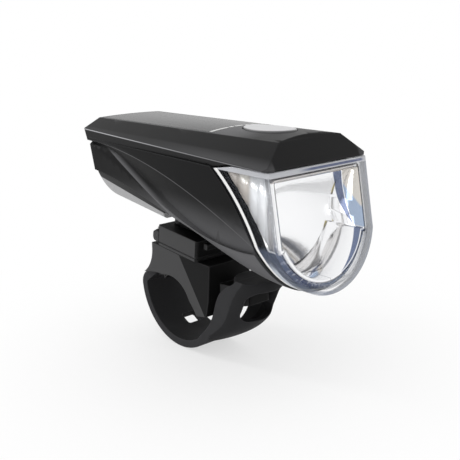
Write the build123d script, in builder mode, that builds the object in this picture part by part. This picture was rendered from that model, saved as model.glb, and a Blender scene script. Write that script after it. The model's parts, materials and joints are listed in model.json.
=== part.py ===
from build123d import *
import os
from math import cos, radians, sin, sqrt, tan

os.makedirs("parts", exist_ok=True)

# Bicycle headlight on a swivelling slide mount with a rubber handlebar strap.
# Millimetres. The origin is the middle of the handlebar seat's axis, which runs along Y.
# +X is the way the beam points, +Z is up and the object is symmetric about Y = 0.

# Handlebar seat and strap loop
bar_radius = 11.1
seat_length = 14.0
seat_from_deg = 25.0
seat_to_deg = 137.0
loop_center_x = 3.2
loop_center_z = 7.0
loop_inner_radius = 18.9
strap_thickness = 2.7
strap_half_width = 9.5
strap_side_wall = 2.0

# Pull nose at the strap's hooked end
nose_height = 17.3
nose_tip_x = 41.6
nose_rib = 3.4
nose_web_x = 33.8
nose_web_reach = 6.6
nose_window_half = 7.9
nose_window_low = 2.4
ladder_hole_length = 5.2
ladder_hole_width = 6.6
ladder_hole_y = 3.9
ladder_hole_deg = 242.0

# Saddle
saddle_half_width = 10.8
saddle_rear_x = -8.7
saddle_front_x = 20.2
saddle_toe_x = 19.6
saddle_toe_z = 1.2
saddle_deck_reach = 15.9
saddle_heel_x = -15.3
saddle_heel_z = 9.6
hook_half_width = 4.5
hook_tip_x = 35.4
hook_height = 6.2
hook_top_z = 13.55

# Tilted deck that the slide block turns on
deck_x = 4.0
deck_z = 20.8
deck_tilt = 5.5
deck_gap = 0.15

# Slide block
block_length = 21.6
block_half_width = 10.8
block_height = 7.4
block_floor = 1.6
groove_half_width = 7.6
groove_height = 2.3
groove_floor = 4.1
slot_half_width = 4.6
slide_gap = 0.15

# Swivel fastener
swivel_u = 3.2
swivel_shank_radius = 1.5
swivel_head_radius = 2.8
swivel_head_height = 1.5
washer_radius = 3.2
washer_thickness = 0.4
swivel_depth = 8.0
turn_clearance = 0.05

# Release lever
lever_low = 0.7
lever_thickness = 2.9
lever_tab_length = 5.6
lever_tab_thickness = 3.9
lever_half_width = 10.2
lever_neck_half = 5.0
lever_side_gap = 0.25
lever_pivot_u = -4.2
lever_pin_radius = 0.75

# Lamp body
tail_x = -35.0
front_x = 64.0
seam_z = 57.0
seam_tail_rise = 1.2
brow_z = 58.8
brow_shoulder_x = 45.0
brow_gap = 0.3
tail_edge_x = -36.9
tail_lean = 10.4
tail_brow_lean = 14.0
wall = 1.8
tail_half_width = 19.4
tail_low_half = 18.0
tail_knee_z = 46.6
tail_floor_z = 45.0
waist_x = 5.0
waist_half_width = 20.7
waist_low_half = 19.2
waist_knee_z = 39.2
waist_floor_z = 36.6
mid_x = 25.0
mid_half_width = 21.3
mid_low_half = 20.3
mid_knee_z = 35.2
mid_floor_z = 27.4
nose_half_width = 21.7
nose_low_half = 21.6
nose_knee_z = 36.0
nose_floor_z = 19.6
crease_step = 0.9

# Top cover
cap_front_x = 59.9
cap_half_front = 22.5
cap_half_tail = 19.9
cap_edge_front_z = 59.0
cap_edge_tail_z = 61.6
ridge_half = 13.6
ridge_front_z = 65.9
ridge_tail_z = 65.0
ridge_front_x = 56.1
crown = 1.35
tail_crown = 0.3
cap_wall = 1.8
cap_corner = 3.0
plate_depth = 0.7
plate_front_x = 26.7
plate_margin = 0.9
window_width = 1.3

# Button
button_x = 39.0
button_length = 20.0
button_width = 12.6
button_gap = 0.35
button_proud = 0.55
button_travel = 0.8
button_flange_gap = 0.6

# Lens
lens_wall = 1.5
lens_lean = 10.6
lens_edge_top_x = 36.8
lens_edge_mid_x = 54.7
lens_edge_mid_z = 36.1
lens_edge_low_x = 61.3
lens_top_x = 60.5
gasket_width = 1.6
gasket_gap = 0.1
lip_length = 2.4
lip_thickness = 0.7
lens_front_fillet = 0.8

# Light engine
reflector_rim_gap = 2.0
reflector_wall = 1.2
focus_x = 35.5
focus_z = 42.0
led_size = 3.4
led_height = 0.9
board_size = 16.0
board_thickness = 1.6
sink_depth = 9.0
sink_fins = 5
fin_thickness = 1.1

# Power and electronics
pack_rear_gap = 0.4
pack_front_gap = 3.6
pack_width = 22.0
pack_height = 8.2
circuit_length = 52.0
circuit_width = 20.0
circuit_thickness = 1.2
socket_length = 7.4
socket_width = 9.0
socket_height = 3.3
socket_z = 52.6
flap_width = 14.0
flap_height = 8.4
flap_middle_z = 52.0
flap_thickness = 1.3
flap_sink = 0.7
flap_barrel_radius = 0.9

# Belly pan and rail
pan_half_width = 17.2
pan_tail_x = -34.0
pan_tail_z = 45.0
pan_heel_x = -21.5
pan_heel_z = 38.2
pan_front_x = 6.0
pan_front_z = 34.8
rail_length = 21.6
rail_foot_half = 7.45
rail_foot_height = 2.0
rail_neck_half = 4.4


# Shared positions and helper shapes


def blend(x, x0, value0, x1, value1):
    """Straight-line value at x between two stations."""
    return value0 + (value1 - value0) * (x - x0) / (x1 - x0)


def seam_at(x):
    """Height of the seam between the side shell and the top cover."""
    return seam_z + seam_tail_rise * (front_x - x) / (front_x - tail_x)


def deck_plane(height, u=0.0):
    """Plane parallel to the tilted deck, its X axis along the slide."""
    tilt = radians(deck_tilt)
    x_dir = Vector(cos(tilt), 0, -sin(tilt))
    z_dir = Vector(sin(tilt), 0, cos(tilt))
    origin = Vector(deck_x, 0, deck_z) + x_dir * u + z_dir * height
    return Plane(origin=origin, x_dir=x_dir, z_dir=z_dir)


def deck_side_plane(y=0.0):
    """Upright plane along the deck: local X along the slide, local Y square to the deck."""
    tilt = radians(deck_tilt)
    x_dir = Vector(cos(tilt), 0, -sin(tilt))
    return Plane(origin=(deck_x, y, deck_z), x_dir=x_dir, z_dir=(0, -1, 0))


side_plane = Plane.XZ
body_stations = [
    (tail_edge_x - 1, tail_half_width, tail_low_half, tail_knee_z, tail_floor_z, 57.2, 56.6, 0.4),
    (waist_x, waist_half_width, waist_low_half, waist_knee_z, waist_floor_z, 52.6, 44.4, 2.4),
    (mid_x, mid_half_width, mid_low_half, mid_knee_z, mid_floor_z, 47.2, 36.7, 0.7),
    (front_x, nose_half_width, nose_low_half, nose_knee_z - 1.0, nose_floor_z, 37.0, 36.2, 0.5),
]


def tail_plane(depth, z=52.0):
    """Plane on the leaning tail face at a height, moved into the body by a depth."""
    lean = radians(tail_lean)
    face_x = tail_edge_x + (cap_edge_tail_z - z) * tan(lean)
    outward = Vector(-cos(lean), 0, -sin(lean))
    return Plane(origin=Vector(face_x, 0, z) - outward * depth, x_dir=(0, -1, 0), z_dir=outward)


def body_section(station):
    """Closed outline of the side shell at one station, with its two creases."""
    x, half, low_half, knee, floor, crease, strip, strip_drop = station
    strip_half = low_half + 0.25 * crease_step
    points = [
        (-low_half, knee),
        (-strip_half - 0.3 * crease_step, strip - strip_drop),
        (-strip_half + crease_step, strip),
        (-half + 0.15, crease),
        (-half, seam_at(x)),
        (half, seam_at(x)),
        (half - 0.15, crease),
        (strip_half - crease_step, strip),
        (strip_half + 0.3 * crease_step, strip - strip_drop),
        (low_half, knee),
    ]
    with BuildSketch(Plane.YZ.offset(x), mode=Mode.PRIVATE) as section:
        with BuildLine():
            Polyline(*points)
            ThreePointArc((low_half, knee), (0, floor), (-low_half, knee))
        make_face()
    return section.sketch


def cavity_section(station, wall_inset):
    """Plain outline inside the shell, open past the seam."""
    x, half, low_half, knee, floor = station[:5]
    top = seam_at(x) + 2
    inset = wall_inset
    crease_room = 0 if x == front_x else crease_step
    with BuildSketch(Plane.YZ.offset(x), mode=Mode.PRIVATE) as section:
        with BuildLine():
            Polyline(
                (-low_half + inset + crease_room, knee + inset),
                (-half + inset + crease_room, top),
                (half - inset - crease_room, top),
                (low_half - inset - crease_room, knee + inset),
            )
            ThreePointArc(
                (low_half - inset - crease_room, knee + inset),
                (0, floor + inset),
                (-low_half + inset + crease_room, knee + inset),
            )
        make_face()
    return section.sketch


def lens_outline(x, inset):
    """Front outline of the lens on an upright plane: flat top, straight sides, round bottom."""
    half = nose_low_half - inset
    floor = nose_floor_z + inset
    with BuildSketch(Plane.YZ.offset(x), mode=Mode.PRIVATE) as outline:
        with BuildLine():
            Polyline(
                (-half, nose_knee_z),
                (-half, brow_z - brow_gap - inset),
                (half, brow_z - brow_gap - inset),
                (half, nose_knee_z),
            )
            ThreePointArc((half, nose_knee_z), (0, floor), (-half, nose_knee_z))
        make_face()
    return outline.sketch


def front_x_at(z, back=0.0):
    """The leaning front face of the lens, moved back by a wall or a gap."""
    return lens_top_x + (seam_z - z) * tan(radians(lens_lean)) - back


edge_low_z = nose_floor_z - 2.0


def side_region(shift, front_back):
    """Side view between the lens's rear edge, moved by shift, and its front face."""
    with BuildSketch(side_plane, mode=Mode.PRIVATE) as region:
        with BuildLine():
            ThreePointArc(
                (lens_edge_top_x + shift, seam_z),
                (lens_edge_mid_x + shift, lens_edge_mid_z),
                (lens_edge_low_x + shift, edge_low_z),
            )
            Polyline(
                (lens_edge_low_x + shift, edge_low_z),
                (front_x_at(edge_low_z, front_back), edge_low_z),
                (front_x_at(brow_z - brow_gap, front_back), brow_z - brow_gap),
                (brow_shoulder_x, brow_z - brow_gap),
                (lens_edge_top_x + shift, seam_z),
            )
        make_face()
    return region.sketch


def tail_region():
    """Side view of everything behind the leaning tail face of the shell and the cover."""
    drop = cap_edge_tail_z - tail_floor_z + 6
    rise = ridge_tail_z - cap_edge_tail_z + 4
    with BuildSketch(side_plane, mode=Mode.PRIVATE) as region:
        with BuildLine():
            Polyline(
                (tail_edge_x + drop * tan(radians(tail_lean)), cap_edge_tail_z - drop),
                (tail_edge_x, cap_edge_tail_z),
                (tail_edge_x + rise * tan(radians(tail_brow_lean)), cap_edge_tail_z + rise),
                (tail_edge_x - 10, cap_edge_tail_z + rise),
                (tail_edge_x - 10, cap_edge_tail_z - drop),
                close=True,
            )
        make_face()
    return region.sketch


with BuildPart() as tail_cutter:
    extrude(tail_region(), amount=40, both=True)


# Lamp: side shell

with BuildPart() as body_outer:
    for station in body_stations:
        add(body_section(station))
    loft()
    add(tail_cutter.part, mode=Mode.SUBTRACT)

inner_stations = [(tail_x + wall + 0.5,) + body_stations[0][1:]] + body_stations[1:]
with BuildPart() as body_cavity:
    for station in inner_stations:
        add(cavity_section(station, wall))
    loft()

with BuildPart() as front_cutter:
    extrude(side_region(-gasket_width, -30), amount=40, both=True)
    with BuildSketch(Plane.XY.offset(seam_z - 0.1)):
        with Locations((lens_edge_top_x - gasket_width, 0)):
            Rectangle(60, 60, align=(Align.MIN, Align.CENTER))
    extrude(amount=6)

rib_places = [-20.0, -4.0, 12.0]
pack_floor_z = 47.6
sink_rib_x = focus_x - 7.0
sink_rib_top_z = focus_z - board_size / 2 - 2.1
boss_places = [(x, y) for x in (-29.0, 8.0) for y in (-14.2, 14.2)]
boss_radius = 3.0
screw_radius = 1.0
screw_head_radius = 1.9
screw_head_height = 1.4
screw_seat_depth = 9.0
rail_screw_us = [-6.0, 8.0]
rail_boss_top = 21.0

with BuildPart() as shell_posts:
    for rib_x in rib_places:
        with Locations((rib_x, 0, pack_floor_z)):
            Box(1.4, 2 * pan_half_width - 3, 30, align=(Align.CENTER, Align.CENTER, Align.MAX))
    for boss_x, boss_y in boss_places:
        with Locations((boss_x, boss_y, seam_at(boss_x) - 0.2)):
            Cylinder(boss_radius, 30, align=(Align.CENTER, Align.CENTER, Align.MAX))
    with Locations((sink_rib_x, 0, sink_rib_top_z)):
        Box(1.4, board_size, 10, align=(Align.CENTER, Align.CENTER, Align.MAX))
    for screw_u in rail_screw_us:
        with BuildSketch(deck_plane(0, screw_u)):
            Circle(boss_radius)
        extrude(amount=rail_boss_top)
    add(body_outer.part, mode=Mode.INTERSECT)

with BuildPart() as side_shell:
    add(body_outer.part)
    add(body_cavity.part, mode=Mode.SUBTRACT)
    add(shell_posts.part)
    add(front_cutter.part, mode=Mode.SUBTRACT)
    for boss_x, boss_y in boss_places:
        with Locations((boss_x, boss_y, seam_at(boss_x) - screw_seat_depth)):
            Cylinder(screw_radius + turn_clearance, 40, mode=Mode.SUBTRACT)
            Cylinder(screw_head_radius + 0.1, 40, align=(Align.CENTER, Align.CENTER, Align.MAX),
                     mode=Mode.SUBTRACT)
    for screw_u in rail_screw_us:
        with BuildSketch(deck_plane(0, screw_u)):
            Circle(screw_radius + turn_clearance)
        extrude(amount=rail_boss_top - 1, mode=Mode.SUBTRACT)
    with BuildSketch(Plane.YZ.offset(tail_x - 2)):
        with Locations((0, socket_z)):
            Rectangle(socket_width + 0.2, socket_height + 0.2)
    extrude(amount=wall + 4, mode=Mode.SUBTRACT)
    with BuildSketch(tail_plane(-1, flap_middle_z)):
        RectangleRounded(flap_width + 0.4, flap_height + 0.6, 1.2)
    extrude(amount=-1 - flap_sink, mode=Mode.SUBTRACT)
side_shell.part.label = "side_shell"
export_step(side_shell.part, "parts/side_shell.step")


# Lamp: top cover, gloss plate, indicator windows and button


def cap_section(x, half_edge, edge_z, ridge_z, half_seam, rise, drop=0.0, inset=0.0):
    """Cross-section of the top cover: skirt, edge, sloped flank and crowned top."""
    low = seam_at(x) - drop
    with BuildSketch(Plane.YZ.offset(x), mode=Mode.PRIVATE) as section:
        with BuildLine():
            Polyline(
                (ridge_half - 0.4 * inset, ridge_z - inset),
                (half_edge - inset, edge_z - 0.5 * inset),
                (half_seam - inset, low),
                (-half_seam + inset, low),
                (-half_edge + inset, edge_z - 0.5 * inset),
                (-ridge_half + 0.4 * inset, ridge_z - inset),
            )
            ThreePointArc(
                (-ridge_half + 0.4 * inset, ridge_z - inset),
                (0, ridge_z + rise - inset),
                (ridge_half - 0.4 * inset, ridge_z - inset),
            )
        make_face()
    return section.sketch


def cap_loft_pair(tail_inset, inset, drop):
    """The tail and front sections of the cover, or of its inside."""
    tail = cap_section(
        tail_edge_x - 1 + tail_inset, cap_half_tail, cap_edge_tail_z, ridge_tail_z,
        tail_half_width, tail_crown, drop, inset,
    )
    front = cap_section(
        front_x, cap_half_front, cap_edge_front_z - 0.1, ridge_front_z + 0.1,
        nose_half_width, crown, drop, inset,
    )
    return tail, front


def brow_region(back):
    """Side view of everything ahead of the cover's leaning front face."""
    with BuildSketch(side_plane, mode=Mode.PRIVATE) as region:
        with BuildLine():
            Polyline(
                (cap_front_x + 0.4 - back, seam_z - 5),
                (cap_front_x + 0.3 - back, cap_edge_front_z - 1.0),
                (cap_front_x - back, cap_edge_front_z),
                (ridge_front_x - back, ridge_front_z),
                (ridge_front_x - 2.2 - back, ridge_front_z + 4),
                (front_x + 20, ridge_front_z + 4),
                (front_x + 20, seam_z - 5),
                close=True,
            )
        make_face()
    return region.sketch


with BuildPart() as brow_cutter:
    extrude(brow_region(0), amount=40, both=True)

with BuildPart() as cap_plan:
    with BuildSketch(Plane.XY.offset(seam_z - 2)):
        with BuildLine():
            Polyline(
                (cap_front_x - cap_corner, -cap_half_front),
                (tail_edge_x - 2, -cap_half_front),
                (tail_edge_x - 2, cap_half_front),
                (cap_front_x - cap_corner, cap_half_front),
            )
            RadiusArc(
                (cap_front_x - cap_corner, cap_half_front),
                (cap_front_x + 0.4, cap_half_front - cap_corner),
                cap_corner + 0.4,
            )
            Line(
                (cap_front_x + 0.4, cap_half_front - cap_corner),
                (cap_front_x + 0.4, -cap_half_front + cap_corner),
            )
            RadiusArc(
                (cap_front_x + 0.4, -cap_half_front + cap_corner),
                (cap_front_x - cap_corner, -cap_half_front),
                cap_corner + 0.4,
            )
        make_face()
    extrude(amount=20)

with BuildPart() as lens_bay:
    with BuildSketch(side_plane):
        with BuildLine():
            Polyline(
                (lens_edge_top_x - gasket_width, seam_z - 5),
                (lens_edge_top_x - gasket_width, seam_at(lens_edge_top_x)),
                (brow_shoulder_x - gasket_width, brow_z),
                (front_x + 20, brow_z),
                (front_x + 20, seam_z - 5),
                close=True,
            )
        make_face()
    extrude(amount=40, both=True)

with BuildPart() as cap_outer:
    for section in cap_loft_pair(0, 0, 0):
        add(section)
    loft(ruled=True)
    add(brow_cutter.part, mode=Mode.SUBTRACT)
    add(tail_cutter.part, mode=Mode.SUBTRACT)
    add(lens_bay.part, mode=Mode.SUBTRACT)
    add(cap_plan.part, mode=Mode.INTERSECT)

with BuildPart() as brow_inner:
    extrude(brow_region(cap_wall + 1.4), amount=40, both=True)

with BuildPart() as cap_cavity:
    for section in cap_loft_pair(tail_x + wall - tail_edge_x + 1.5, cap_wall, 1.0):
        add(section)
    loft(ruled=True)
    add(brow_inner.part, mode=Mode.SUBTRACT)

plate_rear_x = tail_x - 0.2
plate_half = ridge_half - plate_margin

with BuildPart() as plate_bed:
    with BuildSketch(Plane.XY.offset(seam_z)):
        with Locations(((plate_rear_x + plate_front_x) / 2, 0)):
            Rectangle(plate_front_x - plate_rear_x, 2 * plate_half)
    extrude(amount=20)
    add(Pos(0, 0, -plate_depth) * cap_outer.part, mode=Mode.SUBTRACT)

window_spans = [(-12.4, -5.0), (-4.1, -2.6), (-1.7, 1.7), (2.6, 4.1), (5.0, 12.4)]
window_x = plate_front_x - 1.7

with BuildPart() as window_bed:
    with BuildSketch(Plane.XY.offset(seam_z)):
        for low_y, high_y in window_spans:
            with Locations((window_x, (low_y + high_y) / 2)):
                Rectangle(window_width, high_y - low_y)
    extrude(amount=20)

button_seat_z = ridge_front_z + crown - cap_wall - button_flange_gap

with BuildPart() as button_hole:
    with BuildSketch(Plane.XY.offset(seam_z)):
        with Locations((button_x, 0)):
            Ellipse(button_length / 2 + button_gap, button_width / 2 + button_gap)
    extrude(amount=20)

board_post_places = [(x, y) for x in (2.0, 26.0) for y in (-7.5, 7.5)]
circuit_floor_z = brow_z + 0.1
circuit_top_z = circuit_floor_z + circuit_thickness

with BuildPart() as cap_posts:
    for post_x, post_y in boss_places:
        with Locations((post_x, post_y, seam_at(post_x))):
            Cylinder(boss_radius, 20, align=(Align.CENTER, Align.CENTER, Align.MIN))
    for post_x, post_y in board_post_places:
        with Locations((post_x, post_y, circuit_top_z + 0.1)):
            Cylinder(1.5, 20, align=(Align.CENTER, Align.CENTER, Align.MIN))
    add(cap_outer.part, mode=Mode.INTERSECT)

with BuildPart() as top_cover:
    add(cap_outer.part)
    add(cap_cavity.part, mode=Mode.SUBTRACT)
    add(cap_posts.part)
    add(plate_bed.part, mode=Mode.SUBTRACT)
    add(button_hole.part, mode=Mode.SUBTRACT)
    for post_x, post_y in boss_places:
        with Locations((post_x, post_y, seam_at(post_x) - 1)):
            Cylinder(
                screw_radius + turn_clearance, 5,
                align=(Align.CENTER, Align.CENTER, Align.MIN), mode=Mode.SUBTRACT,
            )
    for clip_x in (24.0, 33.5):
        for side in (-1, 1):
            with Locations((clip_x, side * (nose_half_width - 0.2), seam_at(clip_x))):
                Box(1.6, 1.4, 1.2, mode=Mode.SUBTRACT)
top_cover.part.label = "top_cover"
export_step(top_cover.part, "parts/top_cover.step")

with BuildPart() as plate_edge_trim:
    with BuildSketch(Plane.XY.offset(seam_z)):
        with Locations(((plate_rear_x + plate_front_x) / 2, 0)):
            Rectangle(plate_front_x - plate_rear_x - 0.2, 2 * plate_half - 0.2)
    extrude(amount=20)
    add(cap_outer.part, mode=Mode.INTERSECT)

with BuildPart() as top_plate:
    add(plate_bed.part)
    add(plate_edge_trim.part, mode=Mode.INTERSECT)
    add(window_bed.part, mode=Mode.SUBTRACT)
top_plate.part.label = "top_plate"
export_step(top_plate.part, "parts/top_plate.step")

with BuildPart() as indicator_windows:
    add(window_bed.part)
    add(plate_bed.part, mode=Mode.INTERSECT)
    add(cap_outer.part, mode=Mode.INTERSECT)
indicator_windows.part.label = "indicator_windows"
export_step(indicator_windows.part, "parts/indicator_windows.step")

with BuildPart() as button:
    with BuildSketch(Plane.XY.offset(button_seat_z - 0.6)):
        with Locations((button_x, 0)):
            Ellipse(button_length / 2, button_width / 2)
    extrude(amount=10)
    add(Pos(0, 0, button_proud) * cap_outer.part, mode=Mode.INTERSECT)
    top_rim = button.faces().sort_by(Axis.Z)[-1].edges()
    fillet(top_rim, radius=0.5)
    with BuildSketch(Plane.XY.offset(button_seat_z - 1.9)):
        with Locations((button_x, 0)):
            Ellipse(button_length / 2 + 1.1, button_width / 2 + 1.1)
    extrude(amount=1.3)
    with BuildSketch(Plane.XY.offset(button_seat_z - 1.9)):
        with Locations((button_x, 0)):
            Circle(1.8)
    extrude(amount=-0.6)
button.part.label = "button"
export_step(button.part, "parts/button.step")


# Lamp: lens, gasket and light engine


def lens_block(inset, shift, front_back):
    """Solid of the lens outline between its rear edge and its leaning front face."""
    with BuildPart(mode=Mode.PRIVATE) as block:
        extrude(lens_outline(lens_edge_top_x - 5, inset), amount=45)
        extrude(side_region(shift, front_back), amount=40, both=True, mode=Mode.INTERSECT)
    return block.part


with BuildPart() as lens:
    add(lens_block(0, 0, 0))
    front_face = lens.faces().sort_by(Axis.X)[-1]
    fillet(front_face.edges(), radius=lens_front_fillet)
    add(lens_block(lens_wall, -12, lens_wall), mode=Mode.SUBTRACT)
lens.part.label = "lens"
export_step(lens.part, "parts/lens.step")

lip_inset = lens_wall + gasket_gap

with BuildPart() as inner_lip:
    add(lens_block(lip_inset, -gasket_width + gasket_gap, 0))
    add(lens_block(lip_inset + lip_thickness, -12, -30), mode=Mode.SUBTRACT)
    extrude(side_region(lip_length, -30), amount=40, both=True, mode=Mode.SUBTRACT)

with BuildPart() as lens_gasket:
    add(lens_block(0.4, -gasket_width + gasket_gap, 0))
    extrude(side_region(-gasket_gap, -30), amount=40, both=True, mode=Mode.SUBTRACT)
    add(lens_block(0.4 + lens_wall, -12, -30), mode=Mode.SUBTRACT)
    add(inner_lip.part)
lens_gasket.part.label = "lens_gasket"
export_step(lens_gasket.part, "parts/lens_gasket.step")

rim_inset = lens_wall + reflector_rim_gap
bowl_focal = 6.4


def bowl_region(spread):
    """Half of the parabola that the reflector's bowl is turned from."""
    depth = lens_top_x + 8 - focus_x
    reach = sqrt(4 * (bowl_focal + spread) * (depth + spread))
    with BuildSketch(side_plane, mode=Mode.PRIVATE) as region:
        with BuildLine():
            Bezier(
                (focus_x - spread, focus_z),
                (focus_x - spread, focus_z + reach / 2),
                (focus_x + depth, focus_z + reach),
            )
            Polyline(
                (focus_x + depth, focus_z + reach),
                (focus_x + depth, focus_z),
                (focus_x - spread, focus_z),
            )
        make_face()
    return region.sketch


bowl_axis = Axis((0, 0, focus_z), (1, 0, 0))


def rim_prism(inset, front_back):
    """Lens outline run back past the bowl's bottom, trimmed to the leaning front."""
    with BuildPart(mode=Mode.PRIVATE) as prism:
        extrude(lens_outline(focus_x - 6, inset), amount=60)
        extrude(side_region(-60, front_back), amount=40, both=True, mode=Mode.INTERSECT)
    return prism.part


with BuildPart() as bowl_outer:
    revolve(bowl_region(reflector_wall), axis=bowl_axis)
    add(rim_prism(rim_inset, lens_wall + 1.2), mode=Mode.INTERSECT)

with BuildPart() as bowl_inner:
    revolve(bowl_region(0), axis=bowl_axis)
    add(rim_prism(rim_inset + reflector_wall, -10), mode=Mode.INTERSECT)

with BuildPart() as reflector:
    add(bowl_outer.part)
    add(bowl_inner.part, mode=Mode.SUBTRACT)
    with Locations(Location((focus_x, 0, focus_z), (0, 90, 0))):
        Cylinder(led_size * 0.85, 12, mode=Mode.SUBTRACT)
reflector.part.label = "reflector"
export_step(reflector.part, "parts/reflector.step")

board_back_x = focus_x - reflector_wall - 0.3 - board_thickness

with BuildPart() as led_board:
    with BuildSketch(Plane.YZ.offset(board_back_x)):
        with Locations((0, focus_z)):
            RectangleRounded(board_size, board_size, 1.5)
            with GridLocations(board_size - 4, board_size - 4, 2, 2):
                Circle(0.9, mode=Mode.SUBTRACT)
    extrude(amount=board_thickness)
led_board.part.label = "led_board"
export_step(led_board.part, "parts/led_board.step")

with BuildPart() as led_emitter:
    with BuildSketch(Plane.YZ.offset(board_back_x + board_thickness)):
        with Locations((0, focus_z)):
            Rectangle(led_size, led_size)
    extrude(amount=led_height)
    with BuildSketch(Plane.YZ.offset(board_back_x + board_thickness + led_height)):
        with Locations((0, focus_z)):
            Circle(led_size * 0.42)
    extrude(amount=0.9, taper=24)
led_emitter.part.label = "led_emitter"
export_step(led_emitter.part, "parts/led_emitter.step")

sink_half = board_size / 2 + 2.0
fin_pitch = (2 * sink_half - fin_thickness) / (sink_fins - 1)

with BuildPart() as heat_sink:
    with BuildSketch(Plane.YZ.offset(board_back_x)):
        with Locations((0, focus_z)):
            RectangleRounded(2 * sink_half, 2 * sink_half, 1.0)
    extrude(amount=-2.0)
    with BuildSketch(Plane.YZ.offset(board_back_x - 2.0)):
        with Locations((0, focus_z)):
            with GridLocations(fin_pitch, 1, sink_fins, 1):
                Rectangle(fin_thickness, 2 * sink_half - 2)
    extrude(amount=-(sink_depth - 2.0))
heat_sink.part.label = "heat_sink"
export_step(heat_sink.part, "parts/heat_sink.step")

# Lamp: power and electronics

pack_rear_x = tail_x + flap_sink + 0.3 + socket_length + pack_rear_gap
pack_length = board_back_x - sink_depth - pack_front_gap - pack_rear_x
pack_x = pack_rear_x + pack_length / 2

with BuildPart() as battery_pack:
    with BuildSketch(Plane.XY.offset(pack_floor_z + 0.05)):
        with Locations((pack_x, 0)):
            RectangleRounded(pack_length, pack_width, 2.0)
    extrude(amount=pack_height)
    fillet(battery_pack.edges().filter_by(GeomType.LINE).filter_by(Axis.X), radius=1.5)
battery_pack.part.label = "battery_pack"
export_step(battery_pack.part, "parts/battery_pack.step")

circuit_front_x = button_x + 6.0

with BuildPart() as circuit_board:
    with BuildSketch(Plane.XY.offset(circuit_floor_z)):
        with Locations((circuit_front_x - circuit_length / 2, 0)):
            RectangleRounded(circuit_length, circuit_width, 1.5)
    extrude(amount=circuit_thickness)
    with BuildSketch(Plane.XY.offset(circuit_floor_z)):
        with Locations((circuit_front_x - 26, -4), (circuit_front_x - 34, 4)):
            Rectangle(6, 5)
        with Locations((circuit_front_x - 44, 0)):
            Rectangle(4, 9)
    extrude(amount=-1.5)
circuit_board.part.label = "circuit_board"
export_step(circuit_board.part, "parts/circuit_board.step")

switch_floor_z = circuit_top_z
switch_top_z = button_seat_z - 2.5 - button_travel - 0.15

with BuildPart() as button_switch:
    with BuildSketch(Plane.XY.offset(switch_floor_z)):
        with Locations((button_x, 0)):
            Rectangle(5.2, 5.2)
    extrude(amount=(switch_top_z - switch_floor_z) * 0.6)
    with BuildSketch(Plane.XY.offset(switch_floor_z)):
        with Locations((button_x, 0)):
            Circle(1.4)
    extrude(amount=switch_top_z - switch_floor_z)
button_switch.part.label = "button_switch"
export_step(button_switch.part, "parts/button_switch.step")

with BuildPart() as charging_socket:
    with BuildSketch(Plane.YZ.offset(tail_x + flap_sink + 0.3)):
        with Locations((0, socket_z)):
            RectangleRounded(socket_width, socket_height, 1.5)
    extrude(amount=socket_length)
    with BuildSketch(Plane.YZ.offset(tail_x + flap_sink + 0.3)):
        with Locations((0, socket_z)):
            RectangleRounded(socket_width - 0.7, socket_height - 0.7, 1.2)
    extrude(amount=socket_length - 1, mode=Mode.SUBTRACT)
    with BuildSketch(Plane.YZ.offset(tail_x + flap_sink + 1.5)):
        with Locations((0, socket_z)):
            Rectangle(socket_width - 2.6, 0.7)
    extrude(amount=socket_length - 1.5)
charging_socket.part.label = "charging_socket"
export_step(charging_socket.part, "parts/charging_socket.step")

flap_back = tail_plane(flap_sink - 0.1, flap_middle_z)
flap_pivot = (
    flap_back.origin
    + flap_back.z_dir * flap_barrel_radius
    - flap_back.y_dir * (flap_height / 2 - flap_barrel_radius)
)

with BuildPart() as port_cover:
    with BuildSketch(flap_back):
        RectangleRounded(flap_width, flap_height, 1.1)
        with Locations((0, -flap_height / 2 + flap_barrel_radius)):
            Rectangle(flap_width + 2, flap_height, align=(Align.CENTER, Align.MAX),
                      mode=Mode.SUBTRACT)
    extrude(amount=flap_thickness)
    with Locations(Location(tuple(flap_pivot), (90, 0, 0))):
        Cylinder(flap_barrel_radius, flap_width)
    with BuildSketch(flap_back):
        with Locations((0, socket_z - flap_middle_z)):
            RectangleRounded(socket_width - 1.8, socket_height - 1.8, 0.7)
    extrude(amount=-0.9)
port_cover.part.label = "port_cover"
export_step(port_cover.part, "parts/port_cover.step")

# Lamp: belly pan and mount rail

with BuildPart() as pan_block:
    with BuildSketch(side_plane) as pan_side:
        with BuildLine():
            ThreePointArc(
                (pan_tail_x, pan_tail_z),
                ((pan_tail_x + pan_heel_x) / 2 - 0.6, (pan_tail_z + pan_heel_z) / 2 - 1.3),
                (pan_heel_x, pan_heel_z),
            )
            Polyline(
                (pan_heel_x, pan_heel_z),
                (pan_front_x, pan_front_z),
                (pan_front_x, pan_tail_z + 5),
                (pan_tail_x, pan_tail_z + 5),
                (pan_tail_x, pan_tail_z),
            )
        make_face()
    extrude(amount=pan_half_width, both=True)
    under_edges = pan_block.edges().filter_by(
        lambda edge: abs(abs(edge.center().Y) - pan_half_width) < 0.1
        and edge.center().Z < pan_tail_z - 0.5
        and abs(edge.tangent_at(0.5).X) > 0.3
    )
    fillet(under_edges, radius=1.6)

with BuildPart() as belly_pan:
    add(pan_block.part)
    add(body_outer.part, mode=Mode.SUBTRACT)
    for screw_u in rail_screw_us[:1]:
        with BuildSketch(deck_plane(0, screw_u)):
            Circle(screw_radius + turn_clearance)
        extrude(amount=rail_boss_top, mode=Mode.SUBTRACT)
belly_pan.part.label = "belly_pan"
export_step(belly_pan.part, "parts/belly_pan.step")

foot_floor = groove_floor + slide_gap
rail_rear_u = -block_length / 2 + 1.5 + slide_gap

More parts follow.
